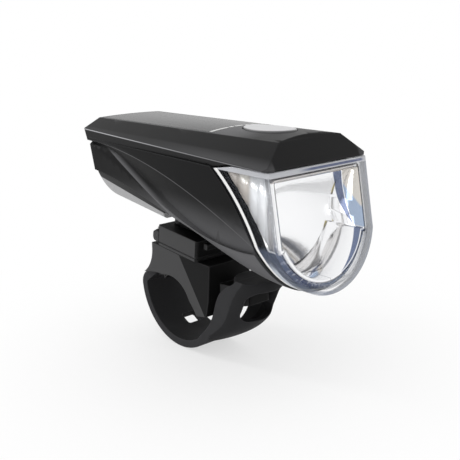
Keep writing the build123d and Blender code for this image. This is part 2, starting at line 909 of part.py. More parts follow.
with BuildPart() as mount_rail:
    with BuildSketch(deck_plane(foot_floor, rail_rear_u)):
        Rectangle(rail_length, 2 * rail_foot_half, align=(Align.MIN, Align.CENTER))
    extrude(amount=rail_foot_height)
    chamfer(mount_rail.edges().group_by(Axis.X)[-1], length=0.4)
    with BuildSketch(deck_plane(foot_floor + rail_foot_height, rail_rear_u)):
        Rectangle(rail_length, 2 * rail_neck_half, align=(Align.MIN, Align.CENTER))
    extrude(amount=12)
    add(pan_block.part, mode=Mode.SUBTRACT)
    add(body_outer.part, mode=Mode.SUBTRACT)
    for screw_u in rail_screw_us:
        with BuildSketch(deck_plane(0, screw_u)):
            Circle(screw_radius + turn_clearance)
        extrude(amount=rail_boss_top, mode=Mode.SUBTRACT)
        with BuildSketch(deck_plane(foot_floor - 1, screw_u)):
            Circle(screw_head_radius + 0.1)
        extrude(amount=1 + screw_head_height, mode=Mode.SUBTRACT)
mount_rail.part.label = "mount_rail"
export_step(mount_rail.part, "parts/mount_rail.step")

with BuildPart() as rail_screws:
    for screw_u in rail_screw_us:
        with BuildSketch(deck_plane(foot_floor + 0.1, screw_u)):
            Circle(screw_head_radius)
        extrude(amount=screw_head_height - 0.1)
        with BuildSketch(deck_plane(foot_floor + 0.1, screw_u)):
            Circle(screw_radius)
        extrude(amount=rail_boss_top - foot_floor - 2)
        with BuildSketch(deck_plane(foot_floor + 0.1, screw_u)):
            RegularPolygon(0.9, 6)
        extrude(amount=0.8, mode=Mode.SUBTRACT)
rail_screws.part.label = "rail_screws"
export_step(rail_screws.part, "parts/rail_screws.step")

with BuildPart() as case_screws:
    for boss_x, boss_y in boss_places:
        screw_seat_z = seam_at(boss_x) - screw_seat_depth
        with BuildSketch(Plane.XY.offset(screw_seat_z)):
            with Locations((boss_x, boss_y)):
                Circle(screw_head_radius)
        extrude(amount=-screw_head_height)
        with BuildSketch(Plane.XY.offset(screw_seat_z)):
            with Locations((boss_x, boss_y)):
                Circle(screw_radius)
        extrude(amount=screw_seat_depth + 3.6)
        with BuildSketch(Plane.XY.offset(screw_seat_z - screw_head_height)):
            with Locations((boss_x, boss_y)):
                RegularPolygon(0.9, 6)
        extrude(amount=0.8, mode=Mode.SUBTRACT)
case_screws.part.label = "case_screws"
export_step(case_screws.part, "parts/case_screws.step")

# Bracket: slide block, release lever and swivel fastener


def deck_point(u, w):
    """Side-view X and Z of a point u along the deck and w above it."""
    tilt = radians(deck_tilt)
    return (deck_x + u * cos(tilt) + w * sin(tilt), deck_z - u * sin(tilt) + w * cos(tilt))


block_rear_u = -block_length / 2
pocket_top = lever_low + lever_thickness + 0.25
tooth_u = block_rear_u + 1.6
lever_front_u = lever_pivot_u + 1.7
lever_pin_w = lever_low + lever_thickness / 2

with BuildPart() as slide_block:
    with BuildSketch(deck_plane(0)):
        RectangleRounded(block_length, 2 * block_half_width, 1.0)
    extrude(amount=block_height)
    with BuildSketch(deck_plane(0.9)):
        Rectangle(block_length + 2, 2 * block_half_width + 2)
        RectangleRounded(block_length - 0.7, 2 * block_half_width - 0.7, 0.8, mode=Mode.SUBTRACT)
    extrude(amount=0.5, mode=Mode.SUBTRACT)
    with BuildSketch(deck_plane(groove_floor, block_rear_u + 1.5)):
        Rectangle(block_length, 2 * groove_half_width, align=(Align.MIN, Align.CENTER))
    extrude(amount=groove_height, mode=Mode.SUBTRACT)
    with BuildSketch(deck_plane(groove_floor, block_rear_u + 1.5)):
        Rectangle(block_length, 2 * slot_half_width, align=(Align.MIN, Align.CENTER))
    extrude(amount=block_height, mode=Mode.SUBTRACT)
    with BuildSketch(deck_plane(-1, block_rear_u - 1)):
        Rectangle(
            lever_front_u - block_rear_u + 1.3,
            2 * (lever_neck_half + lever_side_gap),
            align=(Align.MIN, Align.CENTER),
        )
    extrude(amount=1 + pocket_top, mode=Mode.SUBTRACT)
    with BuildSketch(deck_plane(0, tooth_u)):
        Rectangle(2.2, 5.6)
    extrude(amount=groove_floor + 0.5, mode=Mode.SUBTRACT)
    with BuildSketch(deck_plane(-1, swivel_u)):
        Circle(swivel_shank_radius + turn_clearance)
    extrude(amount=5, mode=Mode.SUBTRACT)
    with BuildSketch(deck_plane(block_floor, swivel_u)):
        Circle(washer_radius + 0.2)
    extrude(amount=groove_floor, mode=Mode.SUBTRACT)
    with BuildSketch(deck_side_plane()):
        with Locations((lever_pivot_u, lever_pin_w)):
            Circle(lever_pin_radius)
    extrude(amount=lever_neck_half + 2.2, both=True, mode=Mode.SUBTRACT)
slide_block.part.label = "slide_block"
export_step(slide_block.part, "parts/slide_block.step")

with BuildPart() as lever_pin:
    with BuildSketch(deck_side_plane()):
        with Locations((lever_pivot_u, lever_pin_w)):
            Circle(lever_pin_radius)
    extrude(amount=lever_neck_half + 2.1, both=True)
lever_pin.part.label = "lever_pin"
export_step(lever_pin.part, "parts/lever_pin.step")

tab_rear_u = block_rear_u - lever_tab_length
tab_front_u = block_rear_u - 0.25

with BuildPart() as release_lever:
    with BuildSketch(deck_plane(lever_low)):
        with BuildLine():
            Polyline(
                (tab_front_u - 1, -lever_neck_half),
                (lever_front_u, -lever_neck_half),
                (lever_front_u, lever_neck_half),
                (tab_front_u - 1, lever_neck_half),
                close=True,
            )
        make_face()
    extrude(amount=lever_thickness)
    with BuildSketch(deck_plane(lever_low)):
        with BuildLine():
            Polyline(
                (tab_rear_u + 2.2, -lever_half_width),
                (tab_front_u, -lever_half_width),
                (tab_front_u, lever_half_width),
                (tab_rear_u + 2.2, lever_half_width),
            )
            ThreePointArc(
                (tab_rear_u + 2.2, lever_half_width),
                (tab_rear_u, 0),
                (tab_rear_u + 2.2, -lever_half_width),
            )
        make_face()
    extrude(amount=lever_tab_thickness)
    tab_edges = release_lever.edges().filter_by(
        lambda edge: edge.geom_type == GeomType.CIRCLE and edge.length > 5
    )
    fillet(tab_edges, radius=1.4)
    with BuildSketch(deck_plane(lever_low + lever_thickness, tooth_u)):
        Rectangle(1.4, 5.0)
    extrude(amount=groove_floor - lever_low - lever_thickness)
    with BuildSketch(deck_side_plane()):
        with Locations((lever_pivot_u, lever_pin_w)):
            Circle(lever_pin_radius + turn_clearance)
    extrude(amount=lever_half_width, both=True, mode=Mode.SUBTRACT)
    for rib in range(3):
        with BuildSketch(deck_plane(lever_low + lever_tab_thickness, tab_front_u - 1.2 - 1.1 * rib)):
            Rectangle(0.5, 2 * lever_half_width - 5)
        extrude(amount=0.3)
release_lever.part.label = "release_lever"
export_step(release_lever.part, "parts/release_lever.step")

washer_low = block_floor + 0.05

with BuildPart() as swivel_washer:
    with BuildSketch(deck_plane(washer_low, swivel_u)):
        Circle(washer_radius)
        Circle(swivel_shank_radius + turn_clearance, mode=Mode.SUBTRACT)
    extrude(amount=washer_thickness)
swivel_washer.part.label = "swivel_washer"
export_step(swivel_washer.part, "parts/swivel_washer.step")

head_low = washer_low + washer_thickness + 0.05

with BuildPart() as swivel_screw:
    with BuildSketch(deck_plane(-swivel_depth, swivel_u)):
        Circle(swivel_shank_radius)
    extrude(amount=swivel_depth + head_low)
    with BuildSketch(deck_plane(head_low, swivel_u)):
        Circle(swivel_head_radius)
    extrude(amount=swivel_head_height)
    with BuildSketch(deck_plane(head_low + swivel_head_height - 0.8, swivel_u)):
        Rectangle(3.4, 0.8)
        Rectangle(0.8, 3.4)
    extrude(amount=1, mode=Mode.SUBTRACT)
swivel_screw.part.label = "swivel_screw"
export_step(swivel_screw.part, "parts/swivel_screw.step")

# Bracket: clamp saddle with its hook

deck_rear = deck_point(-14.0, -deck_gap)
deck_front = deck_point(saddle_deck_reach, -deck_gap)
arch_start = (14.6, 0.2)
arch_middle = (3.5, 9.2)
arch_end = (-9.3, 10.8)
root_key_x = -11.0
root_key_length = 2.4
root_key_half = 6.5
root_key_top_z = 12.1
seat_bore_relief = 0.5

facet_low = Vector(17.0, -saddle_half_width, 4.0)
facet_high = Vector(7.6, -saddle_half_width, 17.4)
facet_front = Vector(19.8, -9.2, 18.4)
facet_along = (facet_high - facet_low).normalized()
facet_out = (facet_front - facet_low).cross(facet_along).normalized()

with BuildPart() as facet_tool:
    with BuildSketch(Plane(origin=facet_low, x_dir=facet_along, z_dir=facet_out)):
        Rectangle(80, 60)
    extrude(amount=12 if facet_out.Y < 0 else -12)
    mirror(about=Plane.XZ)


def seat_point(angle, radius):
    """Point round the handlebar seat's axis in the side view."""
    return (radius * cos(radians(angle)), radius * sin(radians(angle)))


with BuildPart() as seat_rib:
    with BuildSketch(side_plane):
        with BuildLine():
            ThreePointArc(
                seat_point(seat_from_deg, bar_radius),
                seat_point((seat_from_deg + seat_to_deg) / 2, bar_radius),
                seat_point(seat_to_deg, bar_radius),
            )
            Polyline(
                seat_point(seat_to_deg, bar_radius),
                (-9.0, 12.0),
                (0, 16.0),
                (14.0, 8.0),
                seat_point(seat_from_deg, bar_radius),
            )
        make_face()
    extrude(amount=seat_length / 2, both=True)

with BuildPart() as clamp_saddle:
    with BuildSketch(side_plane):
        with BuildLine():
            ThreePointArc(arch_start, arch_middle, arch_end)
            Line(arch_end, (saddle_heel_x, saddle_heel_z))
            ThreePointArc(
                (saddle_heel_x, saddle_heel_z),
                (-10.9, 14.8),
                (deck_rear[0], deck_rear[1] - 2.0),
            )
            Polyline(
                (deck_rear[0], deck_rear[1] - 2.0),
                deck_rear,
                deck_front,
                (saddle_front_x, 6.5),
                (saddle_toe_x, saddle_toe_z),
                arch_start,
            )
        make_face()
    extrude(amount=saddle_half_width, both=True)
    add(facet_tool.part, mode=Mode.SUBTRACT)
    with Locations(Location((0, 0, 0), (90, 0, 0))):
        Cylinder(bar_radius + seat_bore_relief, 60, mode=Mode.SUBTRACT)
    add(seat_rib.part)
    with BuildSketch(side_plane):
        with BuildLine():
            Polyline(
                (14.0, 4.6),
                (31.0, hook_top_z - hook_height - 0.6),
                (hook_tip_x, hook_top_z - hook_height + 0.8),
                (hook_tip_x - 0.2, hook_top_z),
                (14.0, hook_top_z - 2.2),
                close=True,
            )
        make_face()
    extrude(amount=hook_half_width, both=True)
    tip_edges = clamp_saddle.edges().filter_by(
        lambda edge: edge.center().X > hook_tip_x - 1 and abs(edge.center().Y) > 4
    )
    fillet(tip_edges, radius=1.3)
    with BuildSketch(deck_plane(-swivel_depth - 0.5, swivel_u)):
        Circle(swivel_shank_radius)
    extrude(amount=swivel_depth + 2, mode=Mode.SUBTRACT)
    with Locations((root_key_x, 0, root_key_top_z)):
        Box(
            root_key_length, 2 * root_key_half, 6,
            align=(Align.CENTER, Align.CENTER, Align.MAX), mode=Mode.SUBTRACT,
        )
clamp_saddle.part.label = "clamp_saddle"
export_step(clamp_saddle.part, "parts/clamp_saddle.step")

# Bracket: rubber strap with its bowed pull nose

loop_outer_radius = loop_inner_radius + strap_thickness


def loop_point(angle, radius):
    """Point round the strap's loop in the side view."""
    return (
        loop_center_x + radius * cos(radians(angle)),
        loop_center_z + radius * sin(radians(angle)),
    )


# Height, rear edge and tip of the nose at each level, as read from its outline
nose_fullness = 0.35
nose_levels = [
    (-9.5, 13.0, 18.4),
    (-5.0, 17.0, 27.5),
    (0.5, 21.0, 34.6),
    (6.0, 22.9, 38.6),
    (11.0, 25.3, 40.8),
    (14.6, 29.6, nose_tip_x),
    (nose_height, 33.4, nose_tip_x - 0.4),
]


def nose_section(level, half, tip_inset, rear):
    """D-shaped plan of the nose: straight at the back, half an ellipse at the front."""
    height, rear_x, tip_x = level
    start_x = rear_x + nose_fullness * (tip_x - rear_x)
    back_x = rear_x if rear is None else rear
    with BuildSketch(Plane.XY.offset(height), mode=Mode.PRIVATE) as section:
        with BuildLine():
            Polyline((start_x, half), (back_x, half), (back_x, -half), (start_x, -half))
            EllipticalCenterArc(
                (start_x, 0), tip_x - tip_inset - start_x, half,
                start_angle=-90, arc_size=180,
            )
        make_face()
    return section.sketch


with BuildPart() as nose_outer:
    for level in nose_levels:
        add(nose_section(level, strap_half_width, 0, None))
    loft()

inner_levels = [(-6.2, 13.0, 22.8)] + nose_levels[2:5] + [(nose_height - nose_rib, 28.4, nose_tip_x)]

with BuildPart() as nose_inner:
    for level in inner_levels:
        add(nose_section(level, strap_half_width - strap_side_wall, 2.1, 6.0))
    loft()

with BuildPart() as nose_web:
    with BuildSketch(Plane.XY.offset(nose_height - nose_rib)):
        with Locations((nose_web_x, 0)):
            Ellipse(nose_web_reach, strap_half_width - 0.6)
    extrude(amount=nose_rib - 0.3)

with BuildPart() as rubber_strap:
    with BuildSketch(side_plane):
        with BuildLine():
            ThreePointArc(
                loop_point(187, loop_outer_radius),
                loop_point(250, loop_outer_radius),
                loop_point(-41, loop_outer_radius),
            )
            Line(loop_point(-41, loop_outer_radius), loop_point(-35, loop_inner_radius))
            ThreePointArc(
                loop_point(-35, loop_inner_radius),
                loop_point(250, loop_inner_radius),
                loop_point(185, loop_inner_radius),
            )
            Polyline(
                loop_point(185, loop_inner_radius),
                (root_key_x + root_key_length / 2 + 0.6, 10.35),
                (saddle_heel_x + 0.1, saddle_heel_z - 0.1),
            )
            ThreePointArc(
                (saddle_heel_x + 0.1, saddle_heel_z - 0.1),
                (-17.6, 7.2),
                loop_point(187, loop_outer_radius),
            )
        make_face()
    extrude(amount=strap_half_width, both=True)
    add(nose_outer.part)
    add(nose_inner.part, mode=Mode.SUBTRACT)
    add(nose_web.part)
    with BuildSketch(Plane.YZ.offset(26.5)):
        with Locations((0, (nose_window_low + nose_height - nose_rib) / 2)):
            RectangleRounded(
                2 * nose_window_half, nose_height - nose_rib - nose_window_low, 3.2
            )
    extrude(amount=30, mode=Mode.SUBTRACT)
    hole_middle = loop_point(ladder_hole_deg, loop_inner_radius)
    hole_out = Vector(cos(radians(ladder_hole_deg)), 0, sin(radians(ladder_hole_deg)))
    with BuildSketch(
        Plane(origin=(hole_middle[0], 0, hole_middle[1]), x_dir=(0, 1, 0), z_dir=hole_out)
    ):
        with Locations((ladder_hole_y, 0)):
            RectangleRounded(ladder_hole_width, ladder_hole_length, 0.8)
    extrude(amount=6, both=True, mode=Mode.SUBTRACT)
    with Locations((root_key_x, 0, root_key_top_z)):
        Box(
            root_key_length, 2 * root_key_half, 4,
            align=(Align.CENTER, Align.CENTER, Align.MAX),
        )
rubber_strap.part.label = "rubber_strap"
export_step(rubber_strap.part, "parts/rubber_strap.step")
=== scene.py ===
import json
import math

import bmesh
import bpy
from bpy.props import FloatProperty, FloatVectorProperty, IntProperty, PointerProperty
from mathutils import Matrix, Vector


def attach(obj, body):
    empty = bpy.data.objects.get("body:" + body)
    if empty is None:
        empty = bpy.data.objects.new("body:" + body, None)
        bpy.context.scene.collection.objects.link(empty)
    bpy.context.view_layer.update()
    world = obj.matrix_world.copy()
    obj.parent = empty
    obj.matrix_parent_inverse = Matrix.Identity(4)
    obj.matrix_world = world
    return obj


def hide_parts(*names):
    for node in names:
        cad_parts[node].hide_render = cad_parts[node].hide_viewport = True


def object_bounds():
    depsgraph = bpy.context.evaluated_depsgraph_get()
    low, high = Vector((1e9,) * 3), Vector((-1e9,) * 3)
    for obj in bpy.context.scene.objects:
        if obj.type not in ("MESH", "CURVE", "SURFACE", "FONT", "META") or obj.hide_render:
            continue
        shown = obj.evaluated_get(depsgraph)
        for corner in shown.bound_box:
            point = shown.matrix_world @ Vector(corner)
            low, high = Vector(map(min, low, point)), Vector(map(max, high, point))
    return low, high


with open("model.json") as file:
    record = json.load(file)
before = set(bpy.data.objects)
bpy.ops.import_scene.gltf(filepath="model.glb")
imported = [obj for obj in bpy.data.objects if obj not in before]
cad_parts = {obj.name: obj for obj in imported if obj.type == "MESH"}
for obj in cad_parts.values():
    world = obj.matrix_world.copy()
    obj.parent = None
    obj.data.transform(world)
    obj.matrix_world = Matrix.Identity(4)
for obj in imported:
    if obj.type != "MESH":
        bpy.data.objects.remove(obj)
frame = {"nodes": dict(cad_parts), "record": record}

bl_info = {
    "name": "Bicycle headlight",
    "version": (1, 0, 0),
    "blender": (4, 5, 0),
    "location": "3D View > Sidebar > Headlight",
    "description": "Dresses the packed bicycle headlight with its finishes and fine parts",
    "category": "Object",
}

NODES = frame["nodes"]
BODY_OF = {
    node: body
    for body, members in frame["record"]["behaviour"]["bodies"].items()
    for node in members
}
CAD_BOX = [list(corner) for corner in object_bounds()]
MM = 0.001

# Merging distance of the smooth copies, and the angles above which edges are shaded sharp
SKIN_WELD = 2e-6
SKIN_CREASE = math.radians(14)
OPTIC_CREASE = math.radians(35)

# The lens and the bowl behind it, in metres, as the CAD has them.
# Points of the side view are (x, z).
LENS_HALF = 0.0216
LENS_TOP = 0.0585
LENS_KNEE = 0.0360
LENS_FLOOR = 0.0196
LENS_FRONT = (0.0605, 0.0570)
LENS_LEAN = math.radians(10.6)
LENS_SLOPE = math.tan(LENS_LEAN)
LENS_OUT = Vector((math.cos(LENS_LEAN), 0, math.sin(LENS_LEAN)))
LENS_FRONT_AT_ZERO = LENS_FRONT[0] + LENS_FRONT[1] * LENS_SLOPE
LENS_EDGE = ((0.0368, 0.0570), (0.0547, 0.0361), (0.0613, 0.0176))
BOWL_MIDDLE = (0.0355, 0.0420)
BOWL_FOCAL = 0.0064

# Lines, borders and depths of the finishes and of their painted light, shade and reflections, in
# metres
SHELL_CREASE = ((-0.0332, 0.0571), (0.0075, 0.0519), (0.0450, 0.0393))
SHELL_STRIP_EDGE = ((-0.0215, 0.0538), (-0.0025, 0.0452), (0.0166, 0.0366))
SHELL_STRIP_TAIL = -0.0240
SHELL_PALE_BELOW = 0.0400
SHELL_BELLY_FRONT = 0.0230
PAN_BORDER = (-0.0334, 0.0443)
PAN_BORDER_SLOPE = -0.192
COVER_EDGE = (-0.0369, 0.0616)
COVER_EDGE_SLOPE = -0.0026 / 0.0968
COVER_FLAT_SIDE = 0.0188
COVER_HIGHLIGHT_FADE_END = 0.006
COVER_PALE_START = 0.0200
COVER_TOP_END = 0.0400
BOWL_BAND_REAR = ((0.0525, 0.0509), (0.0429, 0.0526), (0.0363, 0.0588))
BOWL_BAND_FRONT = ((0.0531, 0.0531), (0.0434, 0.0552), (0.0373, 0.0583))
BOWL_BLUE_EDGE = (0.0541, 0.0489)
BOWL_BLUE_SLOPE = 0.806
BOWL_PARTING_SIDES = (0.35 * MM, 0.55 * MM)
BOWL_COLLAR_TOP = 0.0364
BOWL_COLLAR_RADIUS = 0.0174
BOWL_FAR_WALL = 0.0181
BOWL_LIP = 0.0551
BEZEL_NEAR_SIDE = -0.0030
BEZEL_FLAT_SIDE = 0.0187
FLUTE_GLINT = (0.0483, 0.0556)
FLUTES_WARM_END = 0.0472
FLUTES_STREAK_SIDES = (0.0622, 0.0640)
FLUTES_STREAK_TOP = 0.0490
FLUTES_LINES_START = 0.0566
FLUTES_FOOT_TOP = 0.0564
LENS_OUTSIDE_DEPTH = 0.6 * MM
LENS_WALL_DEPTH = 1.5 * MM
LENS_FLANGE_WIDTH = 1.15 * MM
LENS_RIM_DEPTH = 3.1 * MM
LENS_PALE_WIDTH = 3.4 * MM
LENS_PALE_TOP = 0.0315
FLOOR_MIDDLE = (0.012, 0.0)

# Painted reflections of the bright parts, and the tints and painted light of the clear moulding
WHITE = (1.0, 1.0, 1.0, 1)
BOWL_HAZE = (0.985, 0.985, 0.99, 1)
BOWL_WARM_WALL = (0.66, 0.62, 0.56, 1)
BOWL_BLUE_WALL = (0.36, 0.46, 0.62, 1)
BOWL_BAND = (0.09, 0.12, 0.22, 1)
BOWL_COLLAR = (0.09, 0.13, 0.25, 1)
BOWL_PARTING = (0.25, 0.26, 0.30, 1)
BOWL_LIP_GREY = (0.60, 0.57, 0.55, 1)
FLUTE_COOL = (0.93, 0.96, 1.0, 1)
FLUTE_WARM = (0.58, 0.51, 0.44, 1)
FLUTE_STREAK = (0.20, 0.18, 0.18, 1)
FLUTE_LINES = (0.16, 0.17, 0.22, 1)
FLUTE_FOOT = (0.06, 0.08, 0.14, 1)
FLUTE_SPARK = (1.0, 0.97, 0.90, 1)
BEZEL_PALE = (0.62, 0.62, 0.64, 1)
BEZEL_SLATE = (0.34, 0.36, 0.42, 1)
BEZEL_WARM = (0.66, 0.61, 0.57, 1)
BEZEL_FLANK = (0.40, 0.41, 0.43, 1)
BEZEL_BLUE = (0.16, 0.21, 0.32, 1)
BEZEL_NAVY = (0.02, 0.035, 0.10, 1)
BEZEL_GLINT = (0.75, 0.77, 0.82, 1)
LENS_GREY = (0.33, 0.35, 0.39, 1)
LENS_CROWN = (0.52, 0.53, 0.56, 1)
LENS_BASIN = (0.13, 0.17, 0.28, 1)
LENS_PALE = (0.54, 0.59, 0.67, 1)
LENS_STREAK = (0.05, 0.07, 0.17, 1)
LENS_FLANGE = (0.86, 0.86, 0.85, 1)

# The flutes behind the lens's sides, in metres
FLUTES_REAR = 0.0400
FLUTES_FOOT = 0.0230
FLUTES_HEIGHT = 0.0335
FLUTE_WIDEST = 0.0050
FLUTE_NARROWEST = 0.0024
FLUTE_BEND = 1.6
FLUTES_BEHIND_RIM = 0.0008
FLUTES_BEHIND_EDGE = 0.0038
FLUTES_BELOW_KNEE = 0.0005

# The studio, in metres
FLOOR_GAP = 0.3 * MM
FLOOR_HALF = 3.0
LIGHT_AIM = (0.01, 0, 0.03)
KEY_PLACE, KEY_SIZE = (-0.26, -0.17, 0.25), 0.07
FILL_PLACE, FILL_SIZE = (0.16, -0.30, 0.02), 0.12
CAMERA_PLACE = Vector((0.2115, -0.1739, 0.1011))
CAMERA_LOOK = Vector((-0.7136, 0.6490, -0.2638))
CAMERA_ROLL = -0.006


def curve_height(x, first, second, third):
    """Height of the parabola through three points of the side view, above a place x."""
    (ax, az), (bx, bz), (cx, cz) = first, second, third
    slope = (bz - az) / (bx - ax)
    bend = ((cz - az) / (cx - ax) - slope) / (cx - bx)
    return (x - ax) * slope + (x - ax) * (x - bx) * bend + az


def circle_through(first, second, third):
    """Middle and radius of the circle through three points of a plane."""
    (ax, ay), (bx, by), (cx, cy) = first, second, third
    d = 2 * (ax * (by - cy) + bx * (cy - ay) + cx * (ay - by))
    a2, b2, c2 = ax * ax + ay * ay, bx * bx + by * by, cx * cx + cy * cy
    middle = (
        (a2 * (by - cy) + b2 * (cy - ay) + c2 * (ay - by)) / d,
        (a2 * (cx - bx) + b2 * (ax - cx) + c2 * (bx - ax)) / d,
    )
    return middle, math.dist(middle, first)


def arc_radius(half, rise):
    """Radius of an arc with half its width and its rise."""
    return (half * half + rise * rise) / (2 * rise)


LENS_ARC_RADIUS = arc_radius(LENS_HALF, LENS_KNEE - LENS_FLOOR)
LENS_ARC_Z = LENS_FLOOR + LENS_ARC_RADIUS
LENS_EDGE_MIDDLE, LENS_EDGE_RADIUS = circle_through(*LENS_EDGE)


# Shader maths


class Wire:
    """A shader socket that maths can be written with."""

    def __init__(self, finish, socket):
        self.finish = finish
        self.socket = socket

    def _math(self, operation, *values):
        return self.finish.node("ShaderNodeMath", {"operation": operation}, *values)

    def __add__(self, other):
        return self._math("ADD", self, other)

    def __radd__(self, other):
        return self._math("ADD", other, self)

    def __sub__(self, other):
        return self._math("SUBTRACT", self, other)

    def __rsub__(self, other):
        return self._math("SUBTRACT", other, self)

    def __mul__(self, other):
        return self._math("MULTIPLY", self, other)

    def __rmul__(self, other):
        return self._math("MULTIPLY", other, self)

    def __abs__(self):
        return self._math("ABSOLUTE", self)

    def __pow__(self, other):
        return self._math("POWER", self, other)

    def larger(self, other):
        """The larger of two values."""
        return self._math("MAXIMUM", self, other)

    def above(self, limit, soft):
        """0 below the limit and 1 above it, with a soft step between."""
        settings = {"interpolation_type": "SMOOTHSTEP"}
        return self.finish.node(
            "ShaderNodeMapRange", settings, self, limit - soft, limit + soft, 0.0, 1.0
        )

    def below(self, limit, soft):
        """1 below the limit and 0 above it, with a soft step between."""
        return 1 - self.above(limit, soft)

    def between(self, low, high, soft):
        """1 between two limits, with soft ends."""
        return self.above(low, soft) * self.below(high, soft)

    def spread(self, low, high):
        """Stretches 0..1 to low..high."""
        return self * (high - low) + low


class Finish:
    """One node material, built a node at a time."""

    def __init__(self, name, owner=None):
        self.material = owner or bpy.data.materials.new(name)
        self.material.use_nodes = True
        self.tree = self.material.node_tree
        self.tree.nodes.clear()
        self.place = None

    def node(self, kind, settings=None, *values, output=0, **named):
        """Adds a node: its settings first, then the values or links of its sockets."""
        node = self.tree.nodes.new(kind)
        for key, value in (settings or {}).items():
            setattr(node, key, value)
        for key, value in list(enumerate(values)) + list(named.items()):
            socket = node.inputs[key.replace("_", " ") if isinstance(key, str) else key]
            if isinstance(value, Wire):
                self.tree.links.new(value.socket, socket)
            elif value is not None:
                socket.default_value = value
        return Wire(self, node.outputs[output]) if len(node.outputs) else None

    def object_place(self):
        """Object coordinates, in metres, shared by the whole material."""
        if self.place is None:
            self.place = self.node("ShaderNodeTexCoord", output="Object")
        return self.place

    def axis(self, letter):
        """One of the object coordinates."""
        return self.node("ShaderNodeSeparateXYZ", None, self.object_place(), output=letter)

    def outward(self, letter):
        """How far the surface looks along one of the object's axes, from -1 to 1."""
        normal = self.node("ShaderNodeTexCoord", output="Normal")
        return self.node("ShaderNodeSeparateXYZ", None, normal, output=letter)

    def facing(self, letter, limit=0.992, soft=0.006):
        """1 on faces that look along an axis, either way."""
        return abs(self.outward(letter)).above(limit, soft)

    def across(self, spot, plane):
        """Distance in metres from a spot, seen along one axis, such as "XZ"."""
        first = self.axis(plane[0]) - spot[0]
        second = self.axis(plane[1]) - spot[1]
        return (first * first + second * second) ** 0.5

    def setback(self):
        """Distance in metres behind the lens's leaning front."""
        return LENS_FRONT_AT_ZERO - self.axis("X") - self.axis("Z") * LENS_SLOPE

    def noise(self, size_mm, detail=2.0, stretch=(1, 1, 1), roughness=0.5):
        """Cloudy noise whose features are about size_mm wide."""
        place = self.object_place()
        if stretch != (1, 1, 1):
            place = self.node("ShaderNodeMapping", None, place, Scale=stretch)
        return self.node(
            "ShaderNodeTexNoise", None, place,
            Scale=1.0 / (size_mm * MM), Detail=detail, Roughness=roughness,
        )

    def cells(self, size_mm):
        """Cellular pattern whose cells are about size_mm wide."""
        return self.node(
            "ShaderNodeTexVoronoi", None, self.object_place(), Scale=1.0 / (size_mm * MM)
        )

    def eroded(self, grain_mm, pit_mm):
        """Height of a fine spark-eroded skin: grain with small pits."""
        return self.noise(grain_mm, 3.0) * 0.7 + self.cells(pit_mm) * 0.3

    def mix(self, factor, first, second):
        """Blends two colours by a mask."""
        node = self.tree.nodes.new("ShaderNodeMix")
        node.data_type = "RGBA"
        for key, value in ((0, factor), (6, first), (7, second)):
            if isinstance(value, Wire):
                self.tree.links.new(value.socket, node.inputs[key])
            else:
                node.inputs[key].default_value = value
        return Wire(self, node.outputs[2])

    def coats(self, base, *coats):
        """Lays colours over a base one after another, each by its own mask."""
        for mask, colour in coats:
            base = self.mix(mask, base, colour)
        return base

    def rounded(self, radius_mm):
        """Normal with the sharp edges rounded off."""
        return self.node("ShaderNodeBevel", {"samples": 4}, Radius=radius_mm * MM)

    def wear(self, radius_mm):
        """1 along sharp edges, 0 on open faces."""
        plain = self.node("ShaderNodeNewGeometry", output="Normal")
        turn = self.node(
            "ShaderNodeVectorMath", {"operation": "DOT_PRODUCT"},
            self.rounded(radius_mm), plain, output="Value",
        )
        return (1 - turn).above(0.012, 0.01)

    def bump(self, height, distance_mm, normal=None):
        """Fine relief in millimetres."""
        return self.node(
            "ShaderNodeBump", None, Distance=distance_mm * MM, Height=height, Normal=normal
        )

    def shade(self, **sockets):
        """Closes the material with one principled shader."""
        shader = self.node("ShaderNodeBsdfPrincipled", None, **sockets)
        self.node("ShaderNodeOutputMaterial", None, shader)
        return self.material


def rgb(colour, scale=1.0):
    """Colour with an alpha of 1, scaled in brightness."""
    return tuple(min(1.0, c * scale) for c in colour[:3]) + (1.0,)


# Finishes


def bracket_moulded(name, colour):
    """Spark-eroded plastic with worn edges, flat flanks painted lighter as painted light, and a
    slight change of sheen.
    """
    f = Finish(name)
    cloud = f.noise(9.0, 3.0)
    edges = f.wear(0.6)
    # Painted light: the flat flanks facing along Y are painted lighter; the lighter edges are
    # wear.
    base = f.coats(
        f.mix(cloud, rgb(colour, 0.88), rgb(colour, 1.12)),
        (f.facing("Y") * 0.8, rgb(colour, 12.0)),
        (edges * 0.6, rgb(colour, 8.0)),
    )
    return f.shade(
        Base_Color=base, Roughness=cloud.spread(0.45, 0.56) - edges * 0.12, IOR=1.5,
        Specular_IOR_Level=0.06,
        Normal=f.bump(f.eroded(0.2, 0.34), 0.006, normal=f.rounded(0.6)),
    )


